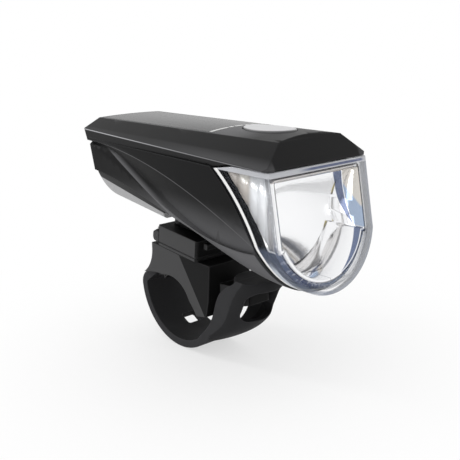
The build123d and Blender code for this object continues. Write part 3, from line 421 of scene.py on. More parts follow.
def shell_moulded(name, colour):
    """Matt moulding with painted light: lighter low down, painted shade underneath, painted
    highlights on the crease and the slanting strip.
    """
    f = Finish(name)
    cloud = f.noise(9.0, 3.0)
    edges = f.wear(0.6)
    x, z = f.axis("X"), f.axis("Z")
    # Painted highlights along the crease line and on the slanting strip below it.
    line = (z - curve_height(x, *SHELL_CREASE)).between(-0.13 * MM, 0.13 * MM, 0.10 * MM)
    over_strip = z - curve_height(x, *SHELL_STRIP_EDGE)
    strip = over_strip.below(0.5 * MM, 1.3 * MM) * over_strip.above(-0.6 * MM, 0.15 * MM)
    strip = strip * x.above(SHELL_STRIP_TAIL, 0.004)
    # Painted light: lighter low down, more so where faces turn down; painted shade on the
    # underside behind the belly's front.
    low = z.below(SHELL_PALE_BELOW, 0.0070)
    down = 0 - f.outward("Z")
    underside = down.above(0.66, 0.10) * x.below(SHELL_BELLY_FRONT, 0.0040)
    base = f.coats(
        f.mix(cloud, rgb(colour, 0.5), rgb(colour, 0.7)),
        (low * 0.95, rgb(colour, 5.6)),
        (low * down.above(0.15, 0.20), rgb(colour, 9.0)),
        (underside, rgb(colour, 0.4)),
        (strip * 0.85, rgb(colour, 11.0)),
        (edges * 0.5, rgb(colour, 3.0)),
        (line * 0.85, rgb(colour, 9.0)),
    )
    return f.shade(
        Base_Color=base, Roughness=cloud.spread(0.40, 0.50) - strip * 0.08 - line * 0.1,
        IOR=1.5, Specular_IOR_Level=0.07,
        Normal=f.bump(f.eroded(0.16, 0.27), 0.006, normal=f.rounded(0.5)),
    )


def cover_moulded(name, colour):
    """Matt moulding of the cover: a painted highlight along its long lower crease, brightest
    towards the tail, and its lower side band and top painted lighter as painted light.
    """
    f = Finish(name)
    cloud = f.noise(9.0, 3.0)
    edges = f.wear(0.6)
    x, z = f.axis("X"), f.axis("Z")
    over_edge = z - (x - COVER_EDGE[0]) * COVER_EDGE_SLOPE - COVER_EDGE[1]
    side = abs(f.axis("Y")).above(COVER_FLAT_SIDE, 0.0004)
    # Painted highlight along the lower crease, strongest towards the tail.
    line = over_edge.between(-0.46 * MM, -0.12 * MM, 0.10 * MM) * side
    towards_tail = x.below(COVER_HIGHLIGHT_FADE_END, 0.040)
    # Painted light: the lower side band and the top faces are painted lighter.
    lower_half = over_edge.below(1.6 * MM, 1.7 * MM) * over_edge.above(0.0, 0.1 * MM)
    lower_half = lower_half * side * x.above(COVER_PALE_START, 0.0250).spread(0.25, 0.95)
    top = f.facing("Z", 0.93, 0.05) * x.below(COVER_TOP_END, 0.0080)
    base = f.coats(
        f.mix(cloud, rgb(colour, 0.6), rgb(colour, 0.8)),
        (lower_half, rgb(colour, 4.8)),
        (top * 0.85, rgb(colour, 8.0)),
        (edges * 0.35, rgb(colour, 3.0)),
        (line * (towards_tail * 0.55 + 0.35), rgb(colour, 38.0)),
    )
    return f.shade(
        Base_Color=base, Roughness=cloud.spread(0.38, 0.48) - line * 0.1, IOR=1.5,
        Specular_IOR_Level=0.10,
        Normal=f.bump(f.eroded(0.16, 0.27), 0.006, normal=f.rounded(0.5)),
    )


def pan_moulded(name, colour, shadow_black):
    """Light grey moulding whose upper border is painted in the shell's black as a painted shadow
    under the shell.
    """
    f = Finish(name)
    grain = f.noise(0.16, 3.0)
    cloud = f.noise(9.0, 3.0)
    border_at_zero = PAN_BORDER[1] - PAN_BORDER[0] * PAN_BORDER_SLOPE
    over_border = f.axis("Z") - f.axis("X") * PAN_BORDER_SLOPE - border_at_zero
    # Painted shadow: above this border, under the shell, the pan is painted in the shell's black.
    base = f.coats(
        f.mix(cloud, rgb(colour, 0.92), rgb(colour, 1.06)),
        (f.wear(0.6) * 0.4, rgb(colour, 1.15)),
        (over_border.above(0.0, 0.08 * MM), rgb(shadow_black)),
    )
    return f.shade(
        Base_Color=base, Roughness=cloud.spread(0.37, 0.48), IOR=1.5, Specular_IOR_Level=0.3,
        Normal=f.bump(grain, 0.006, normal=f.rounded(0.6)),
    )


def button_moulded(name, colour):
    """Light grey moulding whose sides, where the button goes down into the cover, are darkened as
    painted shade.
    """
    f = Finish(name)
    grain = f.noise(0.12, 3.0)
    cloud = f.noise(6.0, 2.0)
    # Painted shade: the sides that do not face up are darkened.
    skirt = 1 - f.facing("Z", 0.72, 0.12)
    base = f.mix(cloud, rgb(colour, 0.95), rgb(colour, 1.05))
    return f.shade(
        Base_Color=f.mix(skirt * 0.85, base, rgb(colour, 0.16)),
        Roughness=cloud.spread(0.34, 0.42), IOR=1.5, Specular_IOR_Level=0.5,
        Normal=f.bump(grain, 0.004),
    )


def gloss_plate(name, colour):
    """Polished plastic with faint polishing swirls, haze and a soft mould flow."""
    f = Finish(name)
    swirl = f.noise(0.7, 4.0, stretch=(1, 3.5, 1))
    cloud = f.noise(14.0, 2.0)
    return f.shade(
        Base_Color=f.mix(cloud, rgb(colour, 0.85), rgb(colour, 1.2)),
        Roughness=swirl.spread(0.192, 0.288), IOR=1.5, Specular_IOR_Level=0.12,
        Normal=f.bump(swirl, 0.002, normal=f.rounded(0.2)),
    )


def soft_rubber(name, colour):
    """Matt moulded rubber: fine skin, talc haze in the hollows, slightly shiny edges and flanks
    painted lighter as painted light.
    """
    f = Finish(name)
    skin = f.noise(0.22, 4.0, roughness=0.6) * 0.8 + f.cells(0.5) * 0.2
    haze = f.noise(5.0, 4.0).above(0.55, 0.2)
    edges = f.wear(0.4)
    # Painted light: the flanks facing along Y are painted lighter; the lighter edges are wear.
    base = f.coats(
        f.mix(haze * 0.5, rgb(colour), rgb(colour, 1.6)),
        (f.facing("Y") * 0.7, rgb(colour, 2.5)),
        (edges * 0.6, rgb(colour, 4.0)),
    )
    return f.shade(
        Base_Color=base, Roughness=haze.spread(0.66, 0.80) - edges * 0.15, IOR=1.48,
        Specular_IOR_Level=0.15, Normal=f.bump(skin, 0.012, normal=f.rounded(0.6)),
    )


def bright_bowl(name):
    """Vacuum-metallised reflector: near-mirror with orange peel and haze, and painted reflections:
    warm and blue walls, dark bands and collar and a grey lip.
    """
    f = Finish(name)
    peel = f.noise(1.4, 2.0)
    haze = f.noise(6.0, 3.0)
    x, y, z = f.axis("X"), f.axis("Y"), f.axis("Z")
    parting = y.between(*BOWL_PARTING_SIDES, 0.08 * MM) * z.below(LENS_KNEE, 0.001)
    far = y.above(0.0120, 0.0005) * z.above(BOWL_COLLAR_TOP, 0.0003)
    past_rear = x - curve_height(z, *BOWL_BAND_REAR)
    past_front = x - curve_height(z, *BOWL_BAND_FRONT)
    band = past_rear.above(0.0, 0.12 * MM) * past_front.below(0.0, 0.08 * MM) * far
    wall = y.above(BOWL_FAR_WALL, 0.00006) * past_front.above(0.30 * MM, 0.08 * MM) * far
    blue_at_zero = BOWL_BLUE_EDGE[1] + BOWL_BLUE_EDGE[0] * BOWL_BLUE_SLOPE
    lower_wall = (z + x * BOWL_BLUE_SLOPE).below(blue_at_zero, 0.6 * MM)
    setback = f.setback()
    collar = f.across((0.0, BOWL_MIDDLE[1]), "YZ").above(BOWL_COLLAR_RADIUS, 0.0001)
    collar = collar * y.above(0.0050, 0.0010) * z.below(BOWL_COLLAR_TOP - 0.2 * MM, 0.0003)
    collar = collar * (setback - y * 0.23).below(0.4 * MM, 0.15 * MM)
    collar = collar * setback.above(1.75 * MM, 0.06 * MM)
    lip = z.above(BOWL_LIP, 0.0001) * y.below(0.0170, 0.0005)
    # Painted reflections: the far wall warm above and blue below, the dark band and collar, and
    # the grey lip.
    base = f.coats(
        f.mix(haze, BOWL_HAZE, WHITE),
        (wall * 0.9, BOWL_WARM_WALL),
        (wall * lower_wall * 0.9, BOWL_BLUE_WALL),
        (band * 0.92, BOWL_BAND),
        (collar * 0.92, BOWL_COLLAR),
        (parting * 0.6, BOWL_PARTING),
        (lip * 0.9, BOWL_LIP_GREY),
    )
    return f.shade(
        Base_Color=base, Metallic=1.0, Roughness=haze.spread(0.06, 0.14),
        Normal=f.bump(peel, 0.010),
    )


def streaked_bright(name):
    """Metallised flutes behind the lens's side, with painted reflections: a white band between
    warm and dark streaks, dark lines and foot, and a painted glint.
    """
    f = Finish(name)
    fine = f.noise(0.8, 3.0, stretch=(1, 1, 0.06))
    cloud = f.noise(4.0, 2.0, stretch=(1, 1, 0.4))
    x, z = f.axis("X"), f.axis("Z")
    rear = (x - z * 0.06).below(FLUTES_WARM_END, 0.0016)
    streak = (x + z * 0.10).between(*FLUTES_STREAK_SIDES, 0.0006)
    streak = streak * z.below(FLUTES_STREAK_TOP, 0.0025)
    lines = fine.above(0.58, 0.03) * (x.above(FLUTES_LINES_START, 0.0008) * 0.35 + 0.05)
    foot = (z + x * 0.35).below(FLUTES_FOOT_TOP, 0.0012)
    spark = f.across(FLUTE_GLINT, "XZ").below(0.0019, 0.0007)
    # Painted reflections: warm towards the rear, a dark streak, dark lines and foot, and a painted
    # glint spot.
    base = f.coats(
        f.mix(cloud, FLUTE_COOL, WHITE),
        (rear * cloud.spread(0.6, 1.0), FLUTE_WARM),
        (streak * 0.6, FLUTE_STREAK),
        (lines, FLUTE_LINES),
        (foot * 0.9, FLUTE_FOOT),
        (spark, FLUTE_SPARK),
    )
    return f.shade(
        Base_Color=base, Metallic=0.15, Roughness=fine.spread(0.12, 0.26),
        Normal=f.bump(fine, 0.03),
    )


def bezel_bright(name):
    """Metallised bezel between the reflector and the lens, coloured with painted reflections of
    dark blue, navy, warm and pale bands and glints.
    """
    f = Finish(name)
    band = f.noise(7.0, 2.0, stretch=(0.5, 1, 1))
    line = f.noise(1.2, 2.0, stretch=(0.4, 1, 1))
    y, z = f.axis("Y"), f.axis("Z")
    low = z.below(LENS_KNEE, 0.006)
    near = y.below(BEZEL_NEAR_SIDE, 0.0050)
    flank = abs(y).above(BEZEL_FLAT_SIDE, 0.0003) * (1 - low)
    # Painted reflections: pale and slate bands, warm near side, grey flanks, blue and navy low
    # down, and glint lines.
    base = f.coats(
        f.mix(band.above(0.52, 0.05), BEZEL_PALE, BEZEL_SLATE),
        (near * 0.7, BEZEL_WARM),
        (flank * 0.9, BEZEL_FLANK),
        (low * 0.9, BEZEL_BLUE),
        (low * near * 0.9, BEZEL_NAVY),
        (line.above(0.58, 0.05) * 0.4, BEZEL_GLINT),
    )
    return f.shade(
        Base_Color=base, Roughness=line.spread(0.15, 0.3), Normal=f.bump(line, 0.02)
    )


def clear_moulding(name, tint):
    """Clear polycarbonate: grey where seen edge on or thick, white along its rear flange, with
    painted light and reflections: a lighter crown, a dark blue basin, a pale band and a dark
    streak.
    """
    f = Finish(name)
    ripple = f.noise(4.0, 2.0)
    scuff = f.noise(0.8, 5.0).above(0.68, 0.05)
    normal = f.bump(ripple, 0.006, normal=f.rounded(0.6))
    edge = f.node("ShaderNodeLayerWeight", None, Blend=0.22, Normal=normal, output="Facing")
    inward = f.across(LENS_EDGE_MIDDLE, "XZ") - LENS_EDGE_RADIUS
    y, z = f.axis("Y"), f.axis("Z")
    under_knee = z.below(LENS_KNEE, 0.5 * MM)
    from_middle = f.across((0.0, LENS_ARC_Z), "YZ")
    outside = abs(y).above(LENS_HALF - LENS_OUTSIDE_DEPTH, 0.1 * MM)
    outside = outside.larger(
        from_middle.above(LENS_ARC_RADIUS - LENS_OUTSIDE_DEPTH, 0.1 * MM) * under_knee)
    flange = inward.below(LENS_FLANGE_WIDTH, 0.12 * MM) * outside
    wall = abs(y).above(LENS_HALF - LENS_WALL_DEPTH, 0.12 * MM)
    belly = from_middle.above(LENS_ARC_RADIUS - LENS_WALL_DEPTH, 0.12 * MM) * under_knee
    thick = wall.larger(belly) * f.setback().below(LENS_RIM_DEPTH, 0.6 * MM)
    thick = thick * y.above(-0.0060, 0.0100).spread(0.06, 0.78)
    near_belly = belly * y.below(-0.0020, 0.0040)
    pale = near_belly * z.below(LENS_PALE_TOP, 0.0030)
    pale = pale * inward.below(LENS_PALE_WIDTH, 0.5 * MM) * 0.76
    basin = near_belly * 0.30
    crown = z.above(LENS_TOP - 1.60 * MM, 0.08 * MM)
    streak = z.between(LENS_TOP - 1.20 * MM, LENS_TOP - 0.45 * MM, 0.12 * MM)
    streak = streak * y.above(-0.0070, 0.0040) * y.below(0.0195, 0.0010)
    # Painted light and reflections: lighter crown, dark blue basin and pale band near the belly,
    # dark streak under the top.
    body = f.coats(
        f.mix(crown, LENS_GREY, LENS_CROWN),
        (basin * 3.0, LENS_BASIN),
        (pale * 1.3, LENS_PALE),
        (streak * 0.9, LENS_STREAK),
        (flange, LENS_FLANGE),
    )
    see = f.node("ShaderNodeBsdfTransparent", None, Color=rgb(tint))
    gloss = f.node(
        "ShaderNodeBsdfPrincipled", None, Base_Color=body, Roughness=scuff.spread(0.03, 0.2),
        IOR=1.5, Normal=normal,
    )
    shine = (edge * edge).spread(0.006, 0.7) + scuff * 0.015
    for cloudy in (flange * 0.92, thick, crown * 0.85, basin, pale):
        shine = shine.larger(cloudy)
    shader = f.node("ShaderNodeMixShader", None, shine, see, gloss)
    f.node("ShaderNodeOutputMaterial", None, shader)
    return f.material


def milky(name, colour):
    """Milky light guide, slightly uneven inside."""
    f = Finish(name)
    cloud = f.noise(0.8, 2.0)
    return f.shade(
        Base_Color=f.mix(cloud, rgb(colour, 0.9), rgb(colour, 1.05)),
        Roughness=cloud.spread(0.25, 0.35), Coat_Weight=0.3,
        Normal=f.bump(cloud, 0.004, normal=f.rounded(0.15)),
    )


def plated_steel(name, colour):
    """Zinc-plated steel with turning marks and a few darker spots."""
    f = Finish(name)
    marks = f.noise(0.12, 3.0, stretch=(1, 1, 0.2))
    spots = f.noise(1.1, 4.0).above(0.62, 0.06)
    return f.shade(
        Base_Color=f.mix(spots * 0.5, rgb(colour), rgb(colour, 0.55)), Metallic=1.0,
        Roughness=marks.spread(0.22, 0.42) + spots * 0.15,
        Normal=f.bump(marks, 0.004, normal=f.rounded(0.1)),
    )


def pressed_aluminium(name, colour):
    """Extruded aluminium with long draw lines."""
    f = Finish(name)
    lines = f.noise(0.25, 3.0, stretch=(0.06, 1, 1))
    return f.shade(
        Base_Color=f.mix(lines, rgb(colour, 0.86), rgb(colour, 1.05)), Metallic=1.0,
        Roughness=lines.spread(0.28, 0.45), Normal=f.bump(lines, 0.006, normal=f.rounded(0.12)),
    )


def circuit_skin(name, colour, copper):
    """Solder mask over copper tracks that show as a slight relief."""
    f = Finish(name)
    tracks = f.node(
        "ShaderNodeTexBrick", None, f.object_place(), Scale=420.0, Mortar_Size=0.06, output="Fac"
    )
    grain = f.noise(0.3, 2.0)
    return f.shade(
        Base_Color=f.mix(tracks, rgb(colour), rgb(copper)), Roughness=grain.spread(0.28, 0.42),
        Coat_Weight=0.4, Normal=f.bump(tracks, 0.02),
    )


def cell_wrap(name, colour):
    """Foil-laminate pouch with small creases."""
    f = Finish(name)
    crease = f.noise(3.0, 5.0, roughness=0.65)
    return f.shade(
        Base_Color=f.mix(crease, rgb(colour, 0.85), rgb(colour, 1.1)), Metallic=0.55,
        Roughness=crease.spread(0.22, 0.4), Normal=f.bump(crease, 0.12),
    )


def phosphor(name, colour):
    """Phosphor face of the light source under its silicone dome."""
    f = Finish(name)
    grains = f.noise(0.15, 3.0)
    return f.shade(
        Base_Color=f.mix(grains, rgb(colour, 0.9), rgb(colour, 1.1)),
        Roughness=grains.spread(0.3, 0.5), Coat_Weight=1.0, Coat_Roughness=0.02,
    )


def seen_ray(f):
    """1 for what the camera sees, directly or through gloss and clear parts."""
    seen, glossy, clear = (
        f.node("ShaderNodeLightPath", output=name)
        for name in ("Is Camera Ray", "Is Glossy Ray", "Is Transmission Ray")
    )
    return seen.larger(glossy).larger(clear)


def pale_floor(name, colour):
    """Pale studio floor that fades to plain white away from the object."""
    f = Finish(name)
    tooth = f.noise(3.0, 3.0)
    lit = f.node(
        "ShaderNodeBsdfPrincipled", None, Base_Color=f.mix(tooth, rgb(colour, 0.99), rgb(colour)),
        Roughness=tooth.spread(0.7, 0.8), Specular_IOR_Level=0.1, Normal=f.bump(tooth, 0.02),
    )
    white = f.node("ShaderNodeEmission", None, Color=WHITE, Strength=1.0)
    away = f.across(FLOOR_MIDDLE, "XY").above(0.075, 0.055).spread(0.6, 1.0)
    shader = f.node("ShaderNodeMixShader", None, away * seen_ray(f), lit, white)
    f.node("ShaderNodeOutputMaterial", None, shader)
    return f.material


def white_surround(world):
    """Soft white light all round, seen as plain white."""
    f = Finish("surround", world)
    soft = f.node("ShaderNodeBackground", None, Color=WHITE, Strength=0.95)
    white = f.node("ShaderNodeBackground", None, Color=WHITE, Strength=1.0)
    shader = f.node("ShaderNodeMixShader", None, seen_ray(f), soft, white)
    f.node("ShaderNodeOutputWorld", None, shader)


# Mesh helpers


def smooth_copy(node_name):
    """Merged, smooth-shaded copy of a CAD node that stands for it."""
    source = NODES[node_name]
    mesh = source.data.copy()
    mesh.name = node_name + "_skin"
    mesh.materials.clear()
    shape = bmesh.new()
    shape.from_mesh(mesh)
    bmesh.ops.remove_doubles(shape, verts=shape.verts, dist=SKIN_WELD)
    shape.to_mesh(mesh)
    shape.free()
    mesh.shade_smooth()
    mesh.set_sharp_from_angle(angle=SKIN_CREASE)
    piece = bpy.data.objects.new(node_name + "_skin", mesh)
    bpy.context.scene.collection.objects.link(piece)
    flats = piece.modifiers.new("flats", "WEIGHTED_NORMAL")
    flats.keep_sharp = True
    flats.weight = 60
    return piece


def dress(material, *node_names):
    """Puts a finish on CAD nodes through smooth copies that replace them."""
    for node_name in node_names:
        piece = smooth_copy(node_name)
        piece.data.materials.append(material)
        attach(piece, BODY_OF[node_name])
        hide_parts(node_name)


def optic_piece(name, shape, material, outward, thickness):
    """Turns an open bmesh into a walled piece of the lamp that faces outward; returns both."""
    bmesh.ops.recalc_face_normals(shape, faces=shape.faces)
    if sum(face.normal.dot(outward) * face.calc_area() for face in shape.faces) < 0:
        bmesh.ops.reverse_faces(shape, faces=shape.faces)
    mesh = bpy.data.meshes.new(name)
    shape.to_mesh(mesh)
    shape.free()
    mesh.shade_smooth()
    mesh.set_sharp_from_angle(angle=OPTIC_CREASE)
    piece = bpy.data.objects.new(name, mesh)
    bpy.context.scene.collection.objects.link(piece)
    mesh.materials.append(material)
    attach(piece, "lamp")
    wall = piece.modifiers.new("wall", "SOLIDIFY")
    wall.thickness = thickness
    wall.offset = -1
    return piece, wall


def grow(shape, edges, by):
    """Extrudes edges by a distance."""
    grown = bmesh.ops.extrude_edge_only(shape, edges=edges)["geom"]
    moved = [item for item in grown if isinstance(item, bmesh.types.BMVert)]
    bmesh.ops.translate(shape, verts=moved, vec=by)


def everything(shape):
    """All that a bmesh holds."""
    return shape.verts[:] + shape.edges[:] + shape.faces[:]


def trim(shape, point, normal):
    """Cuts away what lies on the side of a plane that its normal points to."""
    bmesh.ops.bisect_plane(
        shape, geom=everything(shape), dist=1e-7, plane_co=point, plane_no=normal,
        clear_outer=True,
    )


def trim_front(shape, back):
    """Cuts a shape along the lens's leaning front, a distance behind it."""
    trim(shape, (LENS_FRONT[0] - back, 0, LENS_FRONT[1]), LENS_OUT)


def lens_loop(shape, inset, drop=0.0):
    """Adds the lens's front outline at x = 0: flat top, straight sides and a round bottom."""
    half = LENS_HALF - inset
    top = LENS_TOP - inset - drop
    floor = LENS_FLOOR + inset + drop
    radius = arc_radius(half, LENS_KNEE - floor)
    start = shape.verts.new((0, -half, LENS_KNEE))
    turned = bmesh.ops.spin(
        shape, geom=[start], cent=(0, 0, floor + radius), axis=(1, 0, 0),
        angle=2 * math.asin(half / radius), steps=56,
    )
    end = [item for item in turned["geom_last"] if isinstance(item, bmesh.types.BMVert)][0]
    corners = [shape.verts.new((0, half, top)), shape.verts.new((0, -half, top))]
    shape.edges.new((end, corners[0]))
    shape.edges.new(corners)
    shape.edges.new((corners[1], start))
    return [edge for edge in shape.edges if not edge.link_faces]


def lean_forward(shape, back):
    """Lays what was drawn at x = 0 along the lens's leaning front, a distance behind it."""
    lean = Matrix.Identity(4)
    lean[0][2] = -LENS_SLOPE
    lean[0][3] = LENS_FRONT_AT_ZERO - back
    bmesh.ops.transform(shape, matrix=lean, verts=shape.verts)


# Settings


class HeadlightColours(bpy.types.PropertyGroup):
    shell: FloatVectorProperty(
        name="Shell", description="Matt black of the shell and the cover",
        subtype="COLOR", size=3, min=0, max=1, default=(0.012, 0.012, 0.0125))
    plate: FloatVectorProperty(
        name="Plate", description="Gloss black of the top plate",
        subtype="COLOR", size=3, min=0, max=1, default=(0.012, 0.012, 0.013))
    pan: FloatVectorProperty(
        name="Pan", description="Grey of the belly pan",
        subtype="COLOR", size=3, min=0, max=1, default=(0.36, 0.36, 0.365))
    button: FloatVectorProperty(
        name="Button", description="Grey of the button",
        subtype="COLOR", size=3, min=0, max=1, default=(0.56, 0.56, 0.57))
    bracket: FloatVectorProperty(
        name="Bracket", description="Black of the block, the lever and the saddle",
        subtype="COLOR", size=3, min=0, max=1, default=(0.0062, 0.0062, 0.0063))
    strap: FloatVectorProperty(
        name="Strap", description="Black of the rubber strap",
        subtype="COLOR", size=3, min=0, max=1, default=(0.014, 0.014, 0.015))
    lens: FloatVectorProperty(
        name="Lens", description="Tint of the clear lens",
        subtype="COLOR", size=3, min=0, max=1, default=(0.997, 0.998, 1.0))


class OpticsSizes(bpy.types.PropertyGroup):
    rim_inset: FloatProperty(
        name="Rim inset", description="From the lens's outline to the reflector's rim",
        unit="LENGTH", default=0.0022, min=0.002, max=0.006)
    rim_drop: FloatProperty(
        name="Rim drop", description="How much more the rim is set in at the top and bottom",
        unit="LENGTH", default=0.0012, min=0, max=0.003)
    rim_back: FloatProperty(
        name="Rim setback", description="From the lens's front to the reflector's rim",
        unit="LENGTH", default=0.0017, min=0.0016, max=0.008)
    bowl_wall: FloatProperty(
        name="Bowl wall", description="Wall of the reflector",
        unit="LENGTH", default=0.0011, min=0.0004, max=0.002)
    bowl_hole: FloatProperty(
        name="Bowl hole", description="Radius of the hole round the light source",
        unit="LENGTH", default=0.0029, min=0.002, max=0.0035)
    bezel_inset: FloatProperty(
        name="Bezel inset", description="From the lens's outline to the bezel's outer edge",
        unit="LENGTH", default=0.0015, min=0.0014, max=0.003)
    bezel_slope: FloatProperty(
        name="Bezel slope", description="How far the bezel falls back towards the lens",
        unit="LENGTH", default=0.0010, min=0, max=0.004)
    bezel_wall: FloatProperty(
        name="Bezel wall", description="Wall of the bezel",
        unit="LENGTH", default=0.0005, min=0.0002, max=0.001)
    flute_count: IntProperty(
        name="Flutes", description="Upright flutes on each side",
        default=6, min=2, max=12)
    flute_wall: FloatProperty(
        name="Flute wall", description="Wall of the flutes",
        unit="LENGTH", default=0.00025, min=0.0001, max=0.0005)


class StudioSettings(bpy.types.PropertyGroup):
    floor: FloatVectorProperty(
        name="Floor", description="Colour of the studio floor",
        subtype="COLOR", size=3, min=0, max=1, default=(0.92, 0.92, 0.92))
    key_power: FloatProperty(
        name="Key light", description="Power of the large light over the lamp",
        unit="POWER", default=0.28, min=0)
    fill_power: FloatProperty(
        name="Fill light", description="Power of the light at the near side",
        unit="POWER", default=0.10, min=0)
    lens_length: FloatProperty(
        name="Focal length", description="Focal length of the studio camera",
        unit="CAMERA", default=61.45, min=10)


# Pieces


class HEADLIGHT_OT_housing(bpy.types.Operator):
    """Finish the side shell, the top cover and the belly pan"""

    bl_idname = "headlight.housing"
    bl_label = "Housing"

    def execute(self, context):
        colours = context.scene.headlight_colours
        dress(shell_moulded("shell_black", colours.shell), "side_shell")
        dress(cover_moulded("cover_black", colours.shell), "top_cover")
        # The shell's black also paints the shadow on the belly pan's upper border.
        dress(pan_moulded("pan_grey", colours.pan, colours.shell), "belly_pan")
        return {"FINISHED"}


class HEADLIGHT_OT_controls(bpy.types.Operator):
    """Finish the top plate, the indicator windows and the button"""

    bl_idname = "headlight.controls"
    bl_label = "Plate and button"

    def execute(self, context):
        colours = context.scene.headlight_colours
        dress(gloss_plate("plate_gloss", colours.plate), "top_plate")
        dress(milky("window_milky", (0.55, 0.55, 0.54)), "indicator_windows")
        dress(button_moulded("button_grey", colours.button), "button")
        return {"FINISHED"}


class HEADLIGHT_OT_optics(bpy.types.Operator):
    """Finish the lens, its seal and the light source"""

    bl_idname = "headlight.optics"
    bl_label = "Lens and light source"

    def execute(self, context):
        colours = context.scene.headlight_colours
        dress(clear_moulding("lens_clear", colours.lens), "lens")
        dress(soft_rubber("seal_black", (0.004, 0.004, 0.005)), "lens_gasket")
        dress(phosphor("led_phosphor", (0.85, 0.72, 0.25)), "led_emitter")
        dress(circuit_skin("led_board_mask", (0.75, 0.75, 0.73), (0.6, 0.58, 0.5)), "led_board")
        return {"FINISHED"}


class HEADLIGHT_OT_reflector(bpy.types.Operator):
    """Turn the reflector's bowl, with its flat sides and its collar"""

    bl_idname = "headlight.reflector"
    bl_label = "Reflector"

    def execute(self, context):
        sizes = context.scene.headlight_optics
        inset = sizes.rim_inset + sizes.bowl_wall
        half, top = LENS_HALF - inset, LENS_TOP - sizes.rim_inset - sizes.rim_drop
        reach = LENS_ARC_RADIUS - sizes.rim_drop - inset
        middle_x, middle_z = BOWL_MIDDLE
        shape = bmesh.new()
        steps, ring, rings_past_reach = 26, 0.0011, 4
        radii = [
            sizes.bowl_hole + (reach - sizes.bowl_hole) * step / steps
            for step in range(steps + 1)
        ]
        radii += [reach + ring * step for step in range(1, rings_past_reach + 1)]
        profile = [
            shape.verts.new((middle_x + radius * radius / (4 * BOWL_FOCAL), 0, middle_z + radius))
            for radius in radii
        ]
        line = [shape.edges.new(pair) for pair in zip(profile, profile[1:])]
        bmesh.ops.spin(
            shape, geom=profile + line, cent=(0, 0, middle_z), axis=(1, 0, 0),
            angle=math.tau, steps=120, use_merge=True,
        )
        bmesh.ops.bisect_plane(
            shape, geom=everything(shape), dist=1e-7, plane_co=(0, 0, LENS_KNEE),
            plane_no=(0, 0, 1),
        )
        past_collar = [
            face for face in shape.faces
            if face.calc_center_median().z < LENS_KNEE
            and math.dist(face.calc_center_median().yz, (0, middle_z)) > reach
        ]
        bmesh.ops.delete(shape, geom=past_collar, context="FACES")
        trim(shape, (0, half, 0), (0, 1, 0))
        trim(shape, (0, -half, 0), (0, -1, 0))
        trim(shape, (0, 0, top), (0, 0, 1))
        rim = [
            edge for edge in shape.edges
            if edge.is_boundary and all(
                math.dist(vert.co.yz, (0, middle_z)) > sizes.bowl_hole + ring
                for vert in edge.verts)
        ]
        grow(shape, rim, (0.05, 0, 0))
        trim_front(shape, sizes.rim_back)
        bowl, wall = optic_piece(
            "reflector_bowl", shape, bright_bowl("bowl_chrome"), Vector((1, 0, 0)),
            sizes.bowl_wall)
        wall.use_even_offset = True
        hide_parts("reflector")
        return {"FINISHED"}


class HEADLIGHT_OT_bezel(bpy.types.Operator):
    """Make the bezel that fills the gap between the reflector's rim and the lens"""

    bl_idname = "headlight.bezel"
    bl_label = "Reflector bezel"

    def execute(self, context):
        sizes = context.scene.headlight_optics
        shape = bmesh.new()
        inner = lens_loop(shape, sizes.rim_inset + 0.1 * MM, sizes.rim_drop)
        outer = [edge for edge in lens_loop(shape, sizes.bezel_inset) if edge not in inner]
        bmesh.ops.bridge_loops(shape, edges=inner + outer)
        outer_verts = {vert for edge in outer for vert in edge.verts}
        bmesh.ops.translate(shape, verts=list(outer_verts), vec=(-sizes.bezel_slope, 0, 0))
        lean_forward(shape, sizes.rim_back + 0.5 * MM)
        optic_piece(
            "reflector_bezel", shape, bezel_bright("bezel_bright"), Vector((1, 0, 0)),
            sizes.bezel_wall)
        return {"FINISHED"}


class HEADLIGHT_OT_flutes(bpy.types.Operator):
    """Make the upright flutes that show through the lens's sides"""

    bl_idname = "headlight.flutes"
    bl_label = "Side flutes"

    def execute(self, context):
        sizes = context.scene.headlight_optics
        finish = streaked_bright("flute_bright")
        (edge_x, edge_z), (knee_x, knee_z) = LENS_EDGE[:2]
        slant = Vector((knee_z - edge_z, 0, edge_x - knee_x)).normalized()
        narrowing = (FLUTE_WIDEST - FLUTE_NARROWEST) / (sizes.flute_count - 1)
        for side, name in ((-1, "near"), (1, "far")):
            shape = bmesh.new()
            x = FLUTES_REAR
            y = side * (LENS_HALF - sizes.rim_inset + 0.1 * MM)
            for number in range(sizes.flute_count):
                width = FLUTE_WIDEST - narrowing * number
                start = shape.verts.new((x, y, FLUTES_FOOT))
                bmesh.ops.spin(
                    shape, geom=[start], cent=(x + width / 2, y - side * width * FLUTE_BEND, 0),
                    axis=(0, 0, -side), angle=2 * math.atan2(0.5, FLUTE_BEND), steps=10)
                x += width
            bmesh.ops.remove_doubles(shape, verts=shape.verts, dist=1e-6)
            grow(shape, shape.edges, (0, 0, FLUTES_HEIGHT))
            trim_front(shape, sizes.rim_back + FLUTES_BEHIND_RIM)
            trim(shape, (edge_x + FLUTES_BEHIND_EDGE, 0, edge_z), slant)
            trim(shape, (0, 0, LENS_KNEE - FLUTES_BELOW_KNEE), (0, 0, -1))
            optic_piece(
                "side_flutes_" + name, shape, finish, Vector((0, side, 0)), sizes.flute_wall)
        return {"FINISHED"}


